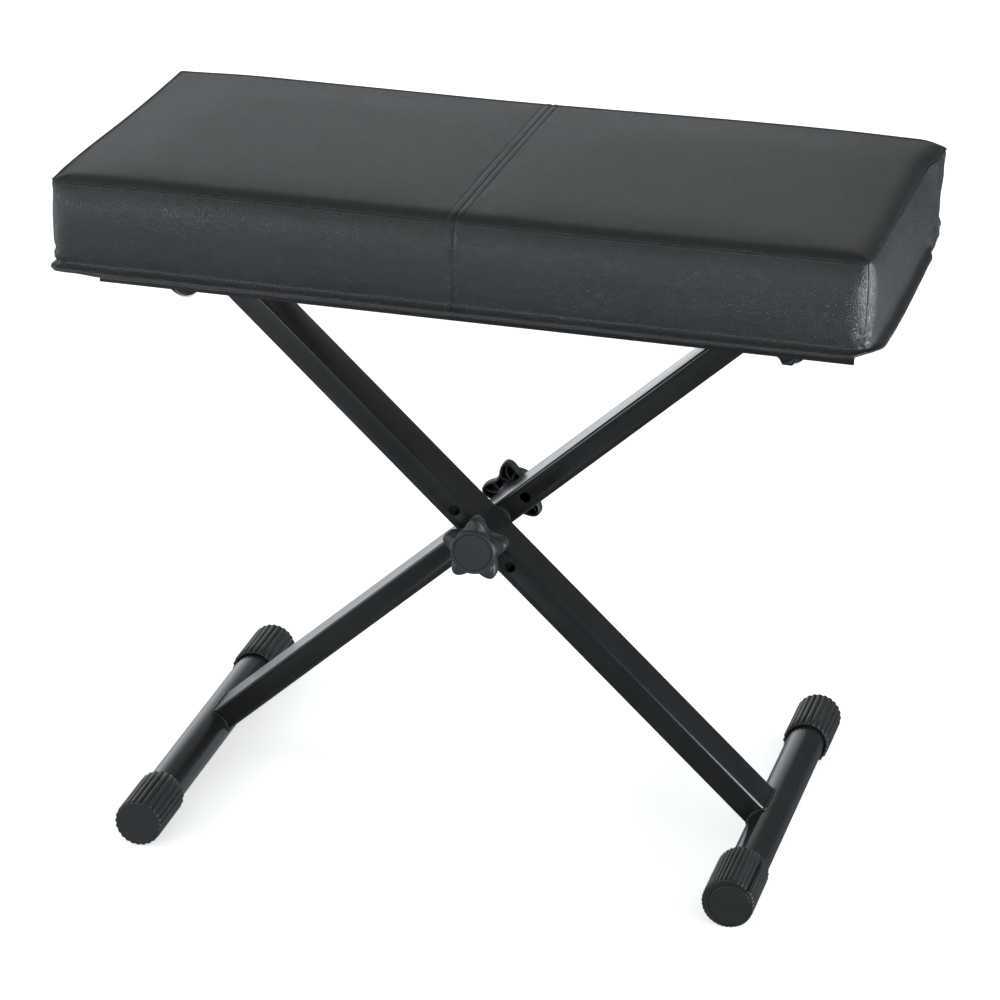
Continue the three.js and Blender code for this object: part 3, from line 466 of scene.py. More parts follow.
def pad_grid(xs, ys, heights, outs):
    """The closed cover: top grid, sides, lower lip, turned-in hem and a recess for the board.
    Returns its points with their outward directions, corner shares and lip weights, its faces,
    and the index arrays of the top and the rings."""
    gx, gy = np.meshgrid(xs, ys, indexing="ij")
    x, y = round_corner(gx, gy)
    top = np.stack([x, y, top_height(x, y)], -1)
    top[..., 0] -= np.sign(x) * SEAM_INSET * bell(np.abs(x), HALF_LENGTH, 4)
    top[..., 1] -= np.sign(y) * SEAM_INSET * bell(np.abs(y), HALF_DEPTH, 4)
    nx, ny = len(xs), len(ys)
    along = [(i, 0) for i in range(nx)] + [(nx - 1, j) for j in range(1, ny)]
    along += [(i, ny - 1) for i in range(nx - 2, -1, -1)] + [(0, j) for j in range(ny - 2, 0, -1)]
    rim_i, rim_j = np.array(along).T
    rim = Rim(x[rim_i, rim_j], y[rim_i, rim_j])
    count = len(along)

    up = np.zeros((nx, ny, 3))
    up[..., 2] = 1
    tilt = 0.35 * np.clip(1 - edge_distance(x, y) / 6, 0, 1)[..., None]
    outward = np.stack([np.sign(x) * bell(np.abs(x), HALF_LENGTH, 5), np.sign(y) * bell(np.abs(y), HALF_DEPTH, 5),
                        np.zeros_like(x)], -1)
    up = up + tilt * outward
    up /= np.linalg.norm(up, axis=-1)[..., None]

    points, directions = [top.reshape(-1, 3)], [up.reshape(-1, 3)]
    shares, lips = [np.full(nx * ny, 0.5)], [np.zeros(nx * ny)]
    index = np.arange(nx * ny).reshape(nx, ny)
    rings = [index[rim_i, rim_j]]
    start = nx * ny

    def add_ring(rx, ry, z, direction, lip):
        nonlocal start
        points.append(np.stack([rx, ry, np.full(count, float(z))], 1))
        directions.append(direction)
        shares.append(rim.share)
        lips.append(np.full(count, float(lip)))
        rings.append(np.arange(start, start + count))
        start += count

    for h, o in zip(heights, outs):
        rx, ry, out = rim.at(h)
        o = o + np.interp(h, *LONG_SIDE_PROFILE.T) * np.abs(out[:, 1])
        add_ring(rx + out[:, 0] * o, ry + out[:, 1] * o, UNDERSIDE + h, out, np.clip(1 - h / 7, 0, 1))
    down = np.tile([0.0, 0.0, -1.0], (count, 1))
    for inset, z, lip in ((-0.3, -0.35, 1), (1.2, -0.4, 1), (2.6, 0.0, 0.6), (4.4, 0.15, 0)):
        add_ring(rx - out[:, 0] * inset, ry - out[:, 1] * inset, UNDERSIDE + z, down, lip)
    ox, oy = rx * OPEN_X / HALF_LENGTH, ry * OPEN_Y / HALF_DEPTH
    add_ring((rx - out[:, 0] * 4.4 + ox) / 2, (ry - out[:, 1] * 4.4 + oy) / 2, UNDERSIDE + 0.25, down, 0)
    for z in (UNDERSIDE + 0.25, UNDERSIDE + 1.1, BOARD_UNDERSIDE + 4):
        add_ring(ox, oy, z, down, 0)

    faces = [(index[i, j], index[i + 1, j], index[i + 1, j + 1], index[i, j + 1])
             for i in range(nx - 1) for j in range(ny - 1)]
    for a, b in zip(rings, rings[1:]):
        for k in range(count):
            m = (k + 1) % count
            faces.append((a[k], b[k], b[m], a[m]))

    # The recess's floor lies inside the board, and closes on a spine of points along its middle
    columns = np.clip(rim_i, 1, nx - 2) - 1
    spine_x = xs[1:-1] * 0.7
    points.append(np.stack([spine_x, np.zeros(nx - 2), np.full(nx - 2, BOARD_UNDERSIDE + 4)], 1))
    directions.append(np.tile([0.0, 0.0, -1.0], (nx - 2, 1)))
    shares.append(np.full(nx - 2, 0.5))
    lips.append(np.zeros(nx - 2))
    for k in range(count):
        m = (k + 1) % count
        corners = [start + columns[k], start + columns[m], rings[-1][m], rings[-1][k]]
        faces.append(tuple(corners if columns[k] != columns[m] else corners[1:]))
    facts = (np.concatenate(directions), np.concatenate(shares), np.concatenate(lips))
    return np.concatenate(points), facts, faces, index, rings


def pulled(points, lips):
    """The sewn cover is out of true: its right half stands higher, its hem hangs a little below
    the board, and its right end flares out at the hem."""
    x, y, z = points.T
    h = z - UNDERSIDE
    moved = points.copy()

    front = 0.9 - 1.2 * bell(x, -HALF_LENGTH, 45) + 1.7 * ease(x, 60, 300)
    rear = -1.4 - 2.1 * bell(x, -HALF_LENGTH, 40) + 3.3 * ease(x, -70, 200) - 1.0 * ease(x, 225, 300) - 2.2 * bell(x, HALF_LENGTH, 7)
    t = ease(y, -HALF_DEPTH, HALF_DEPTH)
    moved[:, 2] += ease(h, 20, 68) * (front * (1 - t) + rear * t + RIM_RAISE * raised(x, y))

    hem = -1.6 - 1.0 * bell(x, -262, 22) + 0.9 * bell(x, -284, 10) + 1.8 * bell(x, -308, 12) + 5.0 * bell(x, 309, 16) + 0.5 * wander(x, 61, 40)
    at_front = ease(-y, 108, 142)
    moved[:, 2] += lips * (hem * at_front - 1.6 * (1 - at_front))

    right = ease(x, 268, 303)
    flare = (5.2 * (1 - ease(h, -3, 17)) + 0.8) * ease(y, -156, -126) * (1 - 0.6 * ease(y, 86, 97) - 0.4 * ease(y, 104, 138))
    hem_profile = np.interp(h, *SIDE_PROFILE.T) - 0.4
    flare -= hem_profile * (h < 13) * ease(y, 92, 104)
    rear_bulge = (2.8 - 1.2 * ease(h, 18, 30) + 1.4 * ease(h, 34, 54) + 2.0 * ease(h, 56, 67)) * ease(y, 84, 122)
    ear = 1.6 * bell(x, HALF_LENGTH, 9) * bell(y, HALF_DEPTH, 9) * ease(h, 52, 67)
    moved[:, 0] += right * (flare + rear_bulge + ear)
    moved[:, 1] += right * ear

    left = ease(-x, 262, 303)
    bulge = 1.0 * (1 - ease(y, -90, 10)) * ease(h, 6, 20) + 2.6 * bell(h, 67, 6) * bell(y, -HALF_DEPTH, 16)
    drawn = 0.8 * bell(y, 45, 80) * ease(h, 30, 66)
    moved[:, 0] += left * (drawn - bulge)
    return moved


def puff(points):
    """A cloth simulation of the padded box, held at its seams: how far each point of points moves."""
    xs = both_ways([0.0] + [k * 7.3 for k in range(1, 40)] + [HALF_LENGTH - 13, HALF_LENGTH - 6, HALF_LENGTH])
    ys = both_ways([0.0] + [k * 7.5 for k in range(1, 18)] + [HALF_DEPTH - 13, HALF_DEPTH - 6, HALF_DEPTH])
    hs = np.array([68.3, 60, 52, 44, 36, 28, 20, 12, 6, 0.0])
    grid, _, faces, _, _ = pad_grid(xs, ys, hs, np.zeros(len(hs)))
    mesh = bpy.data.meshes.new("pad_start")
    mesh.from_pydata([tuple(p) for p in grid * MM], [], [tuple(f) for f in faces])
    pad = bpy.data.objects.new("pad_start", mesh)
    bpy.context.scene.collection.objects.link(pad)
    bpy.context.view_layer.objects.active = pad
    remesh = pad.modifiers.new("voxels", "REMESH")
    remesh.mode = "VOXEL"
    remesh.voxel_size = 0.006
    depsgraph = bpy.context.evaluated_depsgraph_get()
    even = bpy.data.meshes.new_from_object(pad.evaluated_get(depsgraph))
    bpy.data.objects.remove(pad)
    cloth_pad = bpy.data.objects.new("pad_cloth", even)
    bpy.context.scene.collection.objects.link(cloth_pad)
    bpy.context.view_layer.objects.active = cloth_pad
    rest = np.empty(len(even.vertices) * 3)
    even.vertices.foreach_get("co", rest)
    rest = rest.reshape(-1, 3)
    x, y, z = (rest / MM).T
    d = edge_distance(x, y)
    seam_z = UNDERSIDE + SEAM_HEIGHT
    on_edge = (np.abs(z - seam_z) < 4.5) & (d < 7)
    on_hem = z < UNDERSIDE + 9
    on_corner = (np.abs(x) > HALF_LENGTH - 8) & (np.abs(y) > HALF_DEPTH - 8)
    on_middle = np.abs(x) < 4
    held = on_edge | on_hem | on_corner | on_middle
    group = cloth_pad.vertex_groups.new(name="held")
    group.add([int(v) for v in np.nonzero(held)[0]], 1.0, "REPLACE")
    cloth = cloth_pad.modifiers.new("cloth", "CLOTH")
    settings = cloth.settings
    settings.quality = 6
    settings.mass = 0.3
    settings.tension_stiffness = 12
    settings.compression_stiffness = 12
    settings.shear_stiffness = 5
    settings.bending_stiffness = 0.6
    settings.use_pressure = True
    settings.uniform_pressure_force = 4
    settings.vertex_group_mass = "held"
    settings.effector_weights.gravity = 0
    scene = bpy.context.scene
    for step in range(1, 21):
        scene.frame_set(step)
    depsgraph = bpy.context.evaluated_depsgraph_get()
    shaped = cloth_pad.evaluated_get(depsgraph).data
    moved = np.empty(len(shaped.vertices) * 3)
    shaped.vertices.foreach_get("co", moved)
    moved = moved.reshape(-1, 3)
    scene.frame_set(1)
    move = (moved - rest) / MM
    far = np.linalg.norm(move, axis=1)
    move *= (PUFF_SHARE * np.minimum(far, PUFF_CAP) / np.maximum(far, 1e-9))[:, None]
    bpy.data.objects.remove(cloth_pad)
    tree = KDTree(len(rest))
    for i, p in enumerate(rest):
        tree.insert(p, i)
    tree.balance()
    result = np.zeros_like(points)
    for k, p in enumerate(points * MM):
        near = tree.find_n(p, 10)
        weights = np.array([math.exp(-(n[2] / 0.008) ** 2) + 1e-9 for n in near])
        result[k] = (move[[n[1] for n in near]] * weights[:, None]).sum(0) / weights.sum()
    return result


PUFF_CAP = 4.0
PUFF_SHARE = 0.25


def seat_cover():
    xs = both_ways(half_lines(HALF_LENGTH, [0.0, 0.5, 1.0, 1.6, 2.3, 3.1, 3.9, 4.6, 5.2, 5.8, 6.5, 7.5, 9.0, 11.5, 15.0, 20.0]))
    ys = both_ways(half_lines(HALF_DEPTH, [0.0]))
    base = SIDE_PROFILE[::-1]
    heights = []
    for (h0, _), (h1, _) in zip(base, base[1:]):
        parts = max(1, round((h0 - h1) / 3.0))
        heights += [h0 + (h1 - h0) * k / parts for k in range(parts)]
    heights = np.array(heights[1:] + [0.0])
    outs = np.interp(heights, SIDE_PROFILE[:, 0], SIDE_PROFILE[:, 1])
    points, (directions, shares, lips), faces, index, rings = pad_grid(xs, ys, heights, outs)

    points = points + puff(points)

    x, y, z = points.T
    height = z - UNDERSIDE
    on_top = np.zeros(len(points), bool)
    on_top[index.ravel()] = True
    offset = np.zeros(len(points))

    # Centre band of the top: a sewn joint with a row of stitches on each side
    band = -0.6 * bell(x, 0, 0.6) - 0.45 * (bell(x, BAND_LEFT, 0.6) + bell(x, BAND_RIGHT, 0.6))
    band += 0.16 * (bell(x, BAND_LEFT / 2, 2.2) + bell(x, BAND_RIGHT / 2, 2.0))
    band += 0.25 * (bell(x, BAND_LEFT - 3, 2.5) + bell(x, BAND_RIGHT + 3, 2.5)) * wander(y, 5, 22)
    band += 0.16 * (bell(x, BAND_LEFT, 2.2) + bell(x, BAND_RIGHT, 2.2)) * np.sin(y * 2 * math.pi / 6.4)
    offset += np.where(on_top, band, 0)

    # Slow unevenness of the foam under the cover
    slow = wander(x + 0.35 * y, 21, 170) * wander(y, 22, 120)
    offset += np.where(on_top, 0.35 * slow, 0)

    # Sides
    side = ~on_top & (height > -1) & (height < SEAM_HEIGHT + 1) & (np.abs(directions[:, 2]) < 0.5)
    lengthwise = np.where(np.abs(directions[:, 1]) > 0.5, x, y)
    panel = wander(lengthwise + 70 * np.sign(directions[:, 1]), 31, 75) * 0.45
    panel += wander(lengthwise + 0.8 * height, 32, 28) * 0.14
    fade = np.clip(height / 10, 0, 1) * np.clip((SEAM_HEIGHT - height) / 8, 0, 1)
    offset += np.where(side, panel * fade, 0)

    # Middle seam of the front and rear, with puckers that fan out of it
    long_side = side & (np.abs(directions[:, 1]) > 0.9)
    seam = -0.6 * bell(x, 0, 0.7) + 0.2 * bell(np.abs(x), 3.2, 1.6)
    pucker = np.sin(height * 2 * math.pi / 11 + 0.25 * x) * np.exp(-np.abs(x) / 9) * 0.38
    pucker += np.sin(height * 2 * math.pi / 6.1 - 0.4 * x) * np.exp(-np.abs(x) / 5) * 0.2
    offset += np.where(long_side, seam + pucker * fade, 0)

    # Corner seams, gathered at the hem
    arc = (shares - 0.5) * corner_length(TOP_CORNER)
    in_corner = side & (shares > 0) & (shares < 1)
    near = in_corner * np.clip(1.4 - np.abs(arc) / 9, 0, 1)
    seam = -0.5 * bell(arc, 0, 0.4)
    pucker = np.sin(height * 2 * math.pi / 8.3 + 0.5 * arc) * np.exp(-np.abs(arc) / 6) * 0.22
    offset += np.where(in_corner, seam + pucker * fade, 0)
    gather = 2.3 * bell(height, 10.5, 3.4) - 2.0 * bell(height, 17.0 - 0.08 * arc ** 2, 1.8)
    gather += 1.1 * bell(height, 10.0, 4.0) * np.sin(arc * 0.9 + height * 0.9)
    gather += 0.6 * bell(height, 19.5, 3.0) * np.cos(arc * 0.45)
    offset += near * gather

    # Small puckers along the upper seam and the hem
    offset += np.where(side, 0.14 * bell(height, 64.6, 1.8) * np.sin(lengthwise * 2 * math.pi / 5.2), 0)
    ripple = np.sin(lengthwise * 2 * math.pi / 9.7 + wander(lengthwise, 41, 60) * 4)
    offset += np.where(side, 0.3 * bell(height, 8.2, 2.8) * ripple, 0)

    # The lip wanders in and out along its length
    wave = 0.7 * wander(lengthwise + 200 * directions[:, 0], 51, 60)
    offset += np.where(side, np.clip((9 - height) / 6, 0, 1) * wave, 0)

    points = pulled(points + directions * offset[:, None], lips)
    cover = add_mesh("cushion", points, faces, VINYL, "seat")
    cover.modifiers.new("smooth", "SUBSURF").levels = 1
    cover.modifiers["smooth"].render_levels = 1
    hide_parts("seat_cover")
    return points, directions, heights, xs, ys, index, rings


cover_points, cover_directions, cover_heights, cover_xs, cover_ys, cover_index, cover_rings = seat_cover()


def closed_path(ids):
    ring = np.append(ids, ids[0])
    return cover_points[ring], cover_directions[ring]


def stitch_line(line, pitch, length, lift):
    normals = np.tile([0.0, 0.0, 1.0], (len(line), 1))
    return along_path(line, normals, pitch, length, lift)


def seat_stitches():
    groups = []
    for height, pitch, length, lift in ((6.4, 3.3, 2.3, 0.2), (64.6, 3.6, 2.5, 0.0)):
        path, normals = closed_path(cover_rings[1 + int(np.argmin(np.abs(cover_heights - height)))])
        groups.append(along_path(path, normals, pitch, length, lift))
    for place in (BAND_LEFT, BAND_RIGHT):
        column = cover_index[int(np.argmin(np.abs(cover_xs - place)))]
        groups.append(stitch_line(cover_points[column][2:-2], 3.6, 2.6, 0.05))
    row = EDGE_STEPS.index(3.0)
    for column in (cover_index[row], cover_index[-1 - row]):
        groups.append(stitch_line(cover_points[column][row:-row], 3.6, 2.5, 0.02))
    for row_ids in (cover_index[:, row], cover_index[:, -1 - row]):
        groups.append(stitch_line(cover_points[row_ids][row:-row], 3.6, 2.5, 0.02))
    starts, ends, normals = (np.concatenate([g[k] for g in groups]) for k in range(3))
    points, faces = capsules(starts, ends, normals, 0.33)
    add_mesh("cover_stitches", points, faces, THREAD, "seat")


seat_stitches()


def staples():
    """Wire staples that hold the turned-in cover to the board."""
    points, faces = [], []
    z = UNDERSIDE + 0.05
    places = [(x, s * (OPEN_Y + 8), 0) for s in (-1, 1) for x in np.arange(-270, 271, 36)]
    places += [(s * (OPEN_X + 7), y, 1) for s in (-1, 1) for y in np.arange(-60, 61, 30)]
    for x, y, turned in places:
        skew = RNG.uniform(-0.25, 0.25)
        direction = np.array([math.cos(skew), math.sin(skew), 0]) if not turned else np.array([-math.sin(skew), math.cos(skew), 0])
        across = np.array([-direction[1], direction[0], 0])
        line = [(-5.0, 1.2), (-5.0, 0.2), (-4.6, -0.3), (4.6, -0.3), (5.0, 0.2), (5.0, 1.2)]
        base = len(points)
        for s, dz in line:
            for w, t in ((-0.6, 0.0), (0.6, 0.0), (0.6, -0.45), (-0.6, -0.45)):
                points.append(np.array([x, y, z + dz * 0.9 + t]) + direction * s + across * w)
        for r in range(len(line) - 1):
            a = base + 4 * r
            for k in range(4):
                m = (k + 1) % 4
                faces.append((a + k, a + m, a + 4 + m, a + 4 + k))
        faces.append((base + 3, base + 2, base + 1, base))
        e = base + 4 * (len(line) - 1)
        faces.append((e, e + 1, e + 2, e + 3))
    add_mesh("staples", np.array(points), faces, ZINC, "seat")


staples()

# Foot caps
CAP_SAMPLES = 8


def cap_profile(radius, bore, chamfer):
    """Open end at 0: the bore's lip, rim, outside and the start of the closed end's chamfer."""
    outside = [(bore, 0.9), (bore + 0.5, 0.25), (bore + 1.0, 0.0), (radius - 0.9, 0.0), (radius - 0.35, 0.2),
               (radius, 0.8), (radius, 20.0), (radius, 40.0), (radius, CAP_LENGTH - chamfer - 1.2),
               (radius, CAP_LENGTH - chamfer), (radius - chamfer * 0.3, CAP_LENGTH - chamfer * 0.35)]
    return outside


def ribbed_cap(radius, depth, ribs, chamfer, bore_shift, groove=None, ring=None):
    """A cap with rounded ribs. Returns points and faces in its own frame, closed end towards +Y."""
    count = ribs * CAP_SAMPLES
    angles = np.arange(count) * 2 * math.pi / count - math.pi / 2
    phase = (np.arange(count) % CAP_SAMPLES) / CAP_SAMPLES
    crest = np.abs(phase - 0.5) * 2
    crest = np.where(crest > 0.999, 1, crest)
    valley = depth * (1 - np.clip((crest - 0.12) / 0.55, 0, 1) ** 0.6)
    bore = FOOT_TUBE_RADIUS + 0.35
    rings = []

    def add(r, y, share, shift=0.0):
        radii = np.asarray(r) - valley * share
        if groove is not None and share > 0:
            radii = radii - groove_depth(angles) * share
        ring_points = np.stack([radii * np.cos(angles), np.full(count, float(y)), radii * np.sin(angles)], 1)
        ring_points[:, 0] += bore_shift[0] * shift
        ring_points[:, 2] += bore_shift[1] * shift
        rings.append(ring_points)

    def groove_depth(a):
        away = np.abs((a - groove[0] + math.pi) % (2 * math.pi) - math.pi) * radius
        return groove[2] * np.clip(1.25 - (away / (groove[1] / 2)) ** 2, 0, 1)

    add(bore, 44.0, 0, 1)
    add(bore, 1.0, 0, 1)
    add(bore + 0.4, 0.2, 0, 1)
    add(bore + 0.9, 0.0, 0, 0.8)
    add(radius - 1.0, 0.0, 0.75, 0)
    add(radius - 0.35, 0.25, 0.95, 0)
    add(radius, 0.9, 1, 0)
    for y in (14, 28, 42, CAP_LENGTH - 4, CAP_LENGTH - chamfer - 0.7):
        add(radius, y, 1, 0)
    add(radius - 0.12, CAP_LENGTH - chamfer * 0.75, 0.9, 0)
    add(radius - chamfer * 0.35, CAP_LENGTH - chamfer * 0.3, 0.6, 0)
    add(radius - chamfer * 0.85, CAP_LENGTH - 0.05, 0.25, 0)
    add(radius - chamfer - 0.5, CAP_LENGTH, 0, 0)
    face_edge = radius - chamfer - 0.9
    if ring is None:
        for r, y in ((face_edge, CAP_LENGTH - 0.02), (face_edge * 0.75, CAP_LENGTH - 0.1),
                     (face_edge * 0.45, CAP_LENGTH - 0.12), (face_edge * 0.15, CAP_LENGTH - 0.12)):
            add(r, y, 0, 0)
        centre = (0, CAP_LENGTH - 0.12, 0)
    else:
        near = radius - np.hypot(*bore_shift) - 0.6
        r0 = min(ring, near)
        for r, y in ((r0 + 0.45, CAP_LENGTH), (r0 + 0.3, CAP_LENGTH - 0.1), (r0 + 0.1, CAP_LENGTH - 0.7),
                     (r0 - 0.25, CAP_LENGTH - 0.75), (r0 - 0.55, CAP_LENGTH - 0.1), (r0 - 0.9, CAP_LENGTH + 0.08),
                     (r0 - 2.2, CAP_LENGTH + 0.05), (r0 * 0.7, CAP_LENGTH - 0.05), (r0 * 0.3, CAP_LENGTH - 0.08)):
            add(r, y, 0, 1)
        centre = (bore_shift[0], CAP_LENGTH - 0.08, bore_shift[1])
    faces = ring_quads(len(rings), count)
    points = np.concatenate(rings)
    total = len(points)
    points = np.concatenate([points, [centre, (bore_shift[0], 44.0, bore_shift[1])]])
    last = total - count
    for k in range(count):
        m = (k + 1) % count
        faces.append((total, last + k, last + m))
        faces.append((total + 1, m, k))
    return points, faces


def place_cap(points, side, x, z, tube_end):
    """side -1 puts the closed end to the front."""
    placed = points.copy()
    if side < 0:
        placed[:, 0] *= -1
        placed[:, 1] *= -1
    placed += np.array([x, side * (tube_end - CAP_LENGTH), z])
    return placed


plain_cap = ribbed_cap(18.5, 1.3, 24, 1.4, (0, 0))
for name, body, side, x in (("foot_cap_left_front", "rear_leg_frame", -1, -FOOT_X),
                            ("foot_cap_left_rear", "rear_leg_frame", 1, -FOOT_X),
                            ("foot_cap_right_rear", "front_leg_frame", 1, FOOT_X)):
    points, faces = plain_cap
    cap = add_mesh("ribbed_" + name, place_cap(points, side, x, FOOT_Z, FOOT_HALF), faces, RUBBER, body)
    sharpen(cap, 50)
    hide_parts(name)

LEVEL_RADIUS = 20.0
LIFT = LEVEL_RADIUS - FOOT_Z
ACROSS = math.sqrt(2.4 ** 2 - LIFT ** 2)
points, faces = ribbed_cap(LEVEL_RADIUS, 0.9, 36, 1.2, (-ACROSS, -LIFT), groove=(math.pi / 2 + math.radians(48), 2.7, 2.1), ring=16.9)
cap = add_mesh("ribbed_levelling_cap", place_cap(points, -1, FOOT_X - ACROSS, LEVEL_RADIUS, FOOT_HALF), faces, RUBBER, "levelling_cap")
sharpen(cap, 50)
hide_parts("levelling_cap")

# Star knobs
KNOB_TIP, KNOB_VALLEY, KNOB_HEIGHT = 26.0, 17.8, 27.4
LOBE_BACK, LOBE_FRONT = 12.0, 23.5
NECK_RADIUS = 11.0
KNOB_BACK = LEG_OUTER + 0.6 + 1.6
KNOB_SAMPLES = 240


def star_share(angles, turn):
    return (0.5 + 0.5 * np.cos(5 * (angles - turn))) ** 1.25


def star_knob(turn):
    """A hollow five-lobed knob on a neck: face disc in a rim, sloping lobes, thin walls."""
    angles = np.arange(KNOB_SAMPLES) * 2 * math.pi / KNOB_SAMPLES
    lobe = star_share(angles, turn)
    outer = KNOB_VALLEY + (KNOB_TIP - KNOB_VALLEY) * lobe
    rings = []

    def add(r, y):
        r = np.broadcast_to(np.asarray(r, float), (KNOB_SAMPLES,))
        y = np.broadcast_to(np.asarray(y, float), (KNOB_SAMPLES,))
        rings.append(np.stack([r * np.cos(angles), y, r * np.sin(angles)], 1))

    h = KNOB_HEIGHT
    for r, y in ((3.0, h - 0.35), (8.0, h - 0.38), (13.6, h - 0.45), (14.3, h - 0.55), (14.5, h - 1.0), (14.8, h - 1.0),
                 (15.0, h - 0.3), (15.4, h - 0.05), (16.4, h), (16.9, h - 0.15), (17.2, h - 0.55)):
        add(r, y)
    edge = 3.0
    shoulder = np.maximum(outer - edge, 17.3)
    shoulder_y = LOBE_FRONT - 0.9 + 1.5 * lobe
    for u in (0.08, 0.2, 0.34, 0.5, 0.66, 0.82, 1.0):
        add(17.3 + (shoulder - 17.3) * u, h - 1.1 + (shoulder_y - h + 1.1) * (1 - (1 - u) ** (1.9 - 0.5 * lobe)))
    for k in range(1, 6):
        a = k / 5 * math.pi / 2
        add(shoulder + (outer - shoulder) * math.sin(a), shoulder_y - (2.4 + 1.0 * lobe) * (1 - math.cos(a)))
    for inset, y in ((0.0, 16.5), (0.15, 13.6), (0.4, 12.6), (0.9, 12.1), (1.6, 12.0), (2.1, 12.3), (2.5, 13.4)):
        add(outer - inset, y)
    for inset, y in ((2.8, 17.0), (3.4, 20.2), (4.6, 21.0)):
        add(np.maximum(outer - inset, NECK_RADIUS + 0.5), y)
    for r, y in ((NECK_RADIUS + 0.4, 21.3), (NECK_RADIUS, 20.6), (NECK_RADIUS - 0.2, 1.0), (NECK_RADIUS - 0.5, 0.2),
                 (NECK_RADIUS - 1.1, 0.0), (4.9, 0.0), (4.4, 0.5), (4.3, 12.0)):
        add(r, y)
    points = np.concatenate(rings)
    faces = [tuple(reversed(f)) for f in ring_quads(len(rings), KNOB_SAMPLES)]
    total = len(points)
    points = np.concatenate([points, [(0, h - 0.34, 0), (0, 12.0, 0)]])
    last = (len(rings) - 1) * KNOB_SAMPLES
    for k in range(KNOB_SAMPLES):
        m = (k + 1) % KNOB_SAMPLES
        faces.append((total, m, k))
        faces.append((total + 1, last + k, last + m))
    return points, faces


def knob_ribs(turn):
    """Curved stiffening ribs inside the lobes."""
    points, faces = [], []
    steps = 7
    for i in range(5):
        angle = turn + 2 * math.pi * i / 5
        for lean, reach in ((0.0, KNOB_TIP - 3.0), (0.42, KNOB_TIP - 7.6), (-0.42, KNOB_TIP - 7.6)):
            base = len(points)
            for t in np.linspace(0, 1, steps):
                r = NECK_RADIUS - 0.5 + (reach - NECK_RADIUS + 0.5) * t
                a = angle + lean * (0.25 + 0.75 * math.sin(t * math.pi / 2)) + 0.10 * math.sin(t * math.pi)
                half = 0.75 / r
                for da, y in ((-half, 14.2), (half, 14.2), (half, 21.6), (-half, 21.6)):
                    points.append((r * math.cos(a + da), y, r * math.sin(a + da)))
            for s in range(steps - 1):
                p = base + 4 * s
                for k in range(4):
                    m = (k + 1) % 4
                    faces.append((p + k, p + 4 + k, p + 4 + m, p + m))
            faces.append((base, base + 1, base + 2, base + 3))
            e = base + 4 * (steps - 1)
            faces.append((e + 3, e + 2, e + 1, e))
    return np.array(points), faces


def add_star_knob(name, side, turn_degrees, body):
    turn = math.radians(turn_degrees)
    points, faces = star_knob(turn)
    ribs, rib_faces = knob_ribs(turn)
    for label, (p, f) in (("star_" + name, (points, faces)), ("ribs_" + name, (ribs, rib_faces))):
        placed = p.copy()
        if side < 0:
            placed[:, 0] *= -1
            placed[:, 1] *= -1
        placed += np.array([0, side * KNOB_BACK, PIVOT_Z])
        obj = add_mesh(label, placed, f, KNOB, body)
        sharpen(obj, 40)
        if label.startswith("star_"):
            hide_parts(name, name.replace("knob", "knob_disc"))


add_star_knob("knob_front", -1, 90, "front_knob")
add_star_knob("knob_rear", 1, 107, "rear_knob")


# Weld beads
def leg_direction(to_foot):
    """Unit vectors along the leg towards its foot, and square to it, upwards."""
    along = np.array([to_foot * math.cos(SLOPE), 0, -math.sin(SLOPE)])
    upward = np.array([to_foot * math.sin(SLOPE), 0, math.cos(SLOPE)])
    return along, upward


def foot_weld(to_foot, y_from, y_to):
    along, upward = leg_direction(to_foot)
    centre = np.array([to_foot * FOOT_X, 0, FOOT_Z])
    corner = 2.5
    outline = []
    for cy, cv, a0 in ((y_to - corner, LEG_HALF_WIDTH - corner, 0), (y_from + corner, LEG_HALF_WIDTH - corner, 90),
                       (y_from + corner, corner - LEG_HALF_WIDTH, 180), (y_to - corner, corner - LEG_HALF_WIDTH, 270)):
        for k in range(6):
            a = math.radians(a0 + 90 * k / 5)
            outline.append((cy + corner * math.cos(a), cv + corner * math.sin(a)))
    outline = np.array(outline + [outline[0]])
    steps = np.linalg.norm(np.diff(outline, axis=0), axis=1)
    travelled = np.concatenate([[0], np.cumsum(steps)])
    at = np.arange(0, travelled[-1], 0.55)
    y = np.interp(at, travelled, outline[:, 0])
    v = np.interp(at, travelled, outline[:, 1])
    back = np.sqrt(FOOT_TUBE_RADIUS ** 2 - v ** 2)
    return centre + np.outer(v, upward) - np.outer(back + 0.3, along) + np.outer(y, [0, 1, 0])


def crossbar_weld(to_foot, y_from, y_to):
    """A bead on each side of the line where the crossbar touches the leg, closed round the leg's edges."""
    along, upward = leg_direction(to_foot)
    centre = np.array([-to_foot * CROSSBAR_X, 0, CROSSBAR_Z])
    reach = 4.8
    path = [(-reach, y_from), (reach, y_from), (reach, y_to), (-reach, y_to), (-reach, y_from)]
    steps = np.linalg.norm(np.diff(path, axis=0), axis=1)
    travelled = np.concatenate([[0], np.cumsum(steps)])
    at = np.arange(0, travelled[-1], 0.55)
    u, y = (np.interp(at, travelled, np.array(path)[:, k]) for k in range(2))
    w = np.sqrt(CROSSBAR_RADIUS ** 2 - u ** 2) + 0.35
    return centre + np.outer(u, along) + np.outer(w, upward) + np.outer(y, [0, 1, 0])


for name, to_foot, y_from, y_to, body in (("front", 1, -LEG_OUTER, -LEG_INNER, "front_leg_frame"),
                                          ("rear", -1, LEG_INNER, LEG_OUTER, "rear_leg_frame")):
    for kind, curve in (("foot", foot_weld(to_foot, y_from, y_to)), ("crossbar", crossbar_weld(to_foot, y_from, y_to))):
        points, faces = swept(curve, 1.15, 2.4)
        add_mesh(f"weld_{kind}_{name}", points, faces, WELD, body)


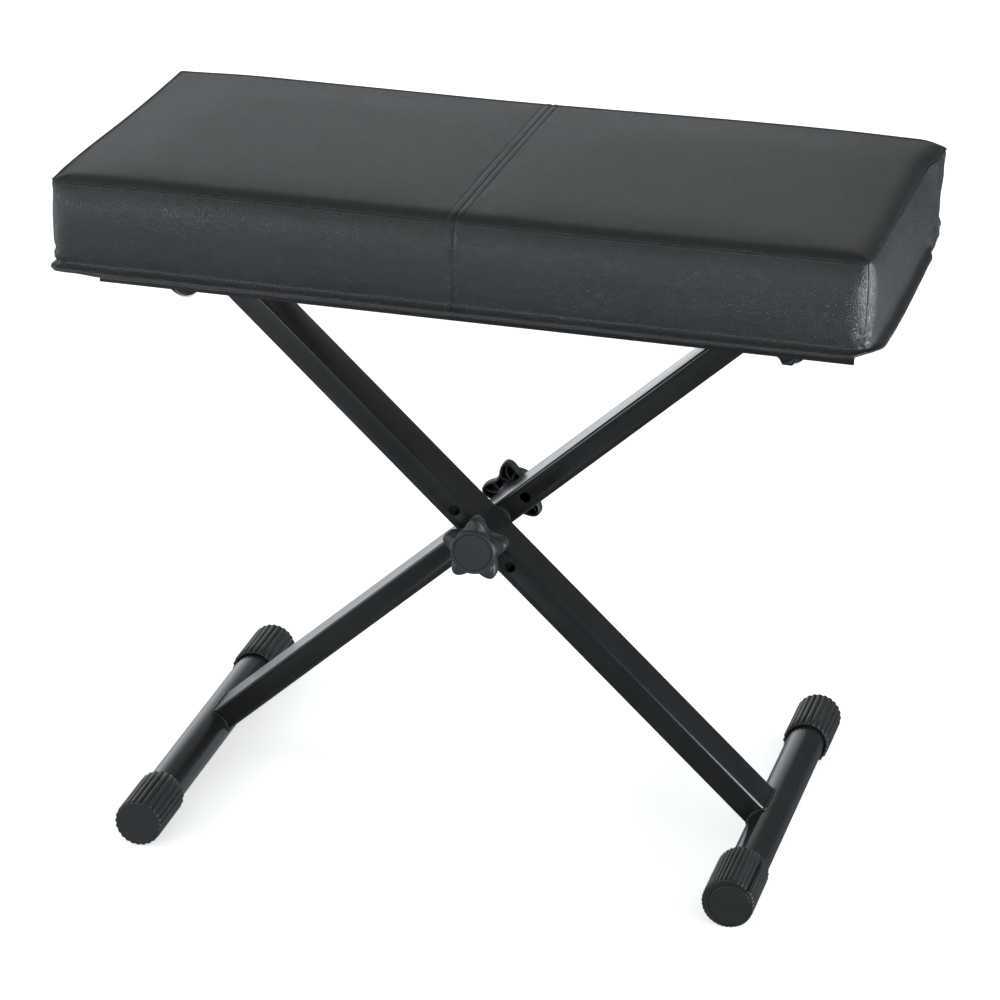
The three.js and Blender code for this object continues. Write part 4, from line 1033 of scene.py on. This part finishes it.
# Camera, as the photograph was taken
camera_data = bpy.data.cameras.new("camera")
camera_data.sensor_width = 36.0
camera_data.lens = 4565.5 / 1000 * 36.0
camera_data.clip_end = 50
camera_data.shift_y = 0.001
camera = bpy.data.objects.new("camera", camera_data)
right = Vector((0.96826, 0.24858, 0.02606))
down = Vector((0.11640, -0.35620, -0.92713))
forward = Vector((-0.22119, 0.90074, -0.37383))
turn = Matrix((right, -down, -forward)).transposed()
camera.matrix_world = Matrix.Translation(Vector((0.78062, -3.16633, 1.55950))) @ turn.to_4x4()
bpy.context.scene.collection.objects.link(camera)
bpy.context.scene.camera = camera


# Studio
COLD = (0.92, 0.975, 1.0)
WHITE = (1.0, 1.0, 1.0)


def area_light(name, place, target, size, energy):
    data = bpy.data.lights.new(name, "AREA")
    data.shape = "RECTANGLE"
    data.size, data.size_y = size
    data.energy = energy
    data.color = COLD
    light = bpy.data.objects.new(name, data)
    light.location = place
    light.visible_camera = False
    light.rotation_euler = (Vector(target) - Vector(place)).to_track_quat("-Z", "Y").to_euler()
    bpy.context.scene.collection.objects.link(light)
    return light


area_light("front_softbox", (-1.62, -2.75, 0.95), (0, 0, 0.4), (1.8, 0.9), 28)
area_light("right_softbox", (1.3, -0.2, 0.22), (0.3, -0.1, 0.48), (1.3, 0.4), 25)
area_light("left_softbox", (-2.6, -0.2, 1.3), (0, 0, 0.3), (1.2, 1.6), 20)
area_light("rear_softbox", (-1.2, 2.2, 0.55), (-0.9, 0, 0.45), (2.6, 1.1), 8.5)


def map_range(nodes, links, source, start, end, low, high):
    node = nodes.new("ShaderNodeMapRange")
    for key, value in (("From Min", start), ("From Max", end), ("To Min", low), ("To Max", high)):
        node.inputs[key].default_value = value
    links.new(source, node.inputs["Value"])
    return node.outputs["Result"]


def arithmetic(nodes, links, operation, first, second):
    node = nodes.new("ShaderNodeMath")
    node.operation = operation
    for socket, value in zip(node.inputs, (first, second)):
        if isinstance(value, float):
            socket.default_value = value
        else:
            links.new(value, socket)
    return node.outputs["Value"]


def ray_kinds(nodes):
    """Rays that see the backdrop as the camera does, and rays that mirror it."""
    return nodes.new("ShaderNodeLightPath").outputs


def studio_world():
    """White for the camera; for reflections bright low behind the left, darker to the right and overhead."""
    world = bpy.data.worlds.new("studio")
    bpy.context.scene.world = world
    world.use_nodes = True
    nodes, links = world.node_tree.nodes, world.node_tree.links
    nodes.clear()
    output = nodes.new("ShaderNodeOutputWorld")
    background = nodes.new("ShaderNodeBackground")
    fill = nodes.new("ShaderNodeBackground")
    fill.inputs["Color"].default_value = (*COLD, 1)
    fill.inputs["Strength"].default_value = 0.56
    direction = nodes.new("ShaderNodeTexCoord")
    split = nodes.new("ShaderNodeSeparateXYZ")
    links.new(direction.outputs["Generated"], split.inputs["Vector"])
    overhead = 0.12
    across = map_range(nodes, links, split.outputs["X"], -0.6, 0.3, 0.87 - overhead, 0.06 - overhead)
    low_down = map_range(nodes, links, split.outputs["Z"], 0.15, 0.5, 1.0, 0.0)
    mirrored = arithmetic(nodes, links, "ADD", arithmetic(nodes, links, "MULTIPLY", across, low_down), overhead)
    rays = ray_kinds(nodes)
    seen = arithmetic(nodes, links, "MAXIMUM", rays["Is Camera Ray"], rays["Is Transmission Ray"])
    shown = arithmetic(nodes, links, "MAXIMUM", seen, rays["Is Glossy Ray"])
    links.new(arithmetic(nodes, links, "MAXIMUM", mirrored, seen), background.inputs["Strength"])
    links.new(ramp(nodes, links, seen, COLD, WHITE), background.inputs["Color"])
    mix = nodes.new("ShaderNodeMixShader")
    links.new(shown, mix.inputs["Fac"])
    links.new(fill.outputs["Background"], mix.inputs[1])
    links.new(background.outputs["Background"], mix.inputs[2])
    links.new(mix.outputs["Shader"], output.inputs["Surface"])


studio_world()


def floor():
    """White for the camera but for the object's shadow; for reflections a painted reflection, whose colour and glow are
    bright behind the left and dark in front.
    """
    material, nodes, links, shader = new_material("studio_floor")
    out = nodes["Material Output"]
    where = object_coordinates(nodes, links)
    grain = noise(nodes, links, where, 3, 2.0)
    split = nodes.new("ShaderNodeSeparateXYZ")
    links.new(where, split.inputs["Vector"])
    # Painted reflection: a gradient that only reflections see, dark in front and bright behind the left, standing in
    # for how the light falls on the floor
    front = map_range(nodes, links, split.outputs["X"], -0.65, 0.15, 0.4, 0.09)
    across = map_range(nodes, links, split.outputs["X"], -0.5, 0.5, 0.75, -0.15)
    behind = map_range(nodes, links, split.outputs["Y"], -0.3, 0.3, 0.0, 1.0)
    mirrored = arithmetic(nodes, links, "ADD", arithmetic(nodes, links, "MULTIPLY", across, behind), front)
    rays = ray_kinds(nodes)
    painted_reflection_colour = nodes.new("ShaderNodeMix")
    painted_reflection_colour.data_type = "RGBA"
    links.new(rays["Is Glossy Ray"], painted_reflection_colour.inputs["Factor"])
    links.new(ramp(nodes, links, grain, (0.86, 0.86, 0.86), (0.9, 0.9, 0.9)), painted_reflection_colour.inputs["A"])
    links.new(ramp(nodes, links, mirrored, (0.0, 0.0, 0.0), COLD), painted_reflection_colour.inputs["B"])
    links.new(painted_reflection_colour.outputs["Result"], shader.inputs["Base Color"])
    shader.inputs["Roughness"].default_value = 0.9
    shader.inputs["Specular IOR Level"].default_value = 0.0
    glow = nodes.new("ShaderNodeEmission")
    seen = arithmetic(nodes, links, "MAXIMUM", rays["Is Camera Ray"], rays["Is Transmission Ray"])
    to_camera = arithmetic(nodes, links, "MULTIPLY", seen, 0.54)
    # Painted reflection: reflections also see the floor glow with the same gradient
    painted_reflection_glow = arithmetic(nodes, links, "MULTIPLY", arithmetic(nodes, links, "MULTIPLY", mirrored, 0.4), rays["Is Glossy Ray"])
    links.new(arithmetic(nodes, links, "MAXIMUM", to_camera, painted_reflection_glow), glow.inputs["Strength"])
    links.new(ramp(nodes, links, seen, COLD, WHITE), glow.inputs["Color"])
    add = nodes.new("ShaderNodeAddShader")
    links.new(shader.outputs["BSDF"], add.inputs[0])
    links.new(glow.outputs["Emission"], add.inputs[1])
    links.new(add.outputs["Shader"], out.inputs["Surface"])
    mesh = bpy.data.meshes.new("floor")
    reach = 14.0
    mesh.from_pydata([(-reach, -reach, 0), (reach, -reach, 0), (reach, reach, 0), (-reach, reach, 0)], [], [(0, 1, 2, 3)])
    mesh.materials.append(material)
    obj = bpy.data.objects.new("floor", mesh)
    bpy.context.scene.collection.objects.link(obj)


floor()
bpy.context.scene.view_settings.view_transform = "Standard"
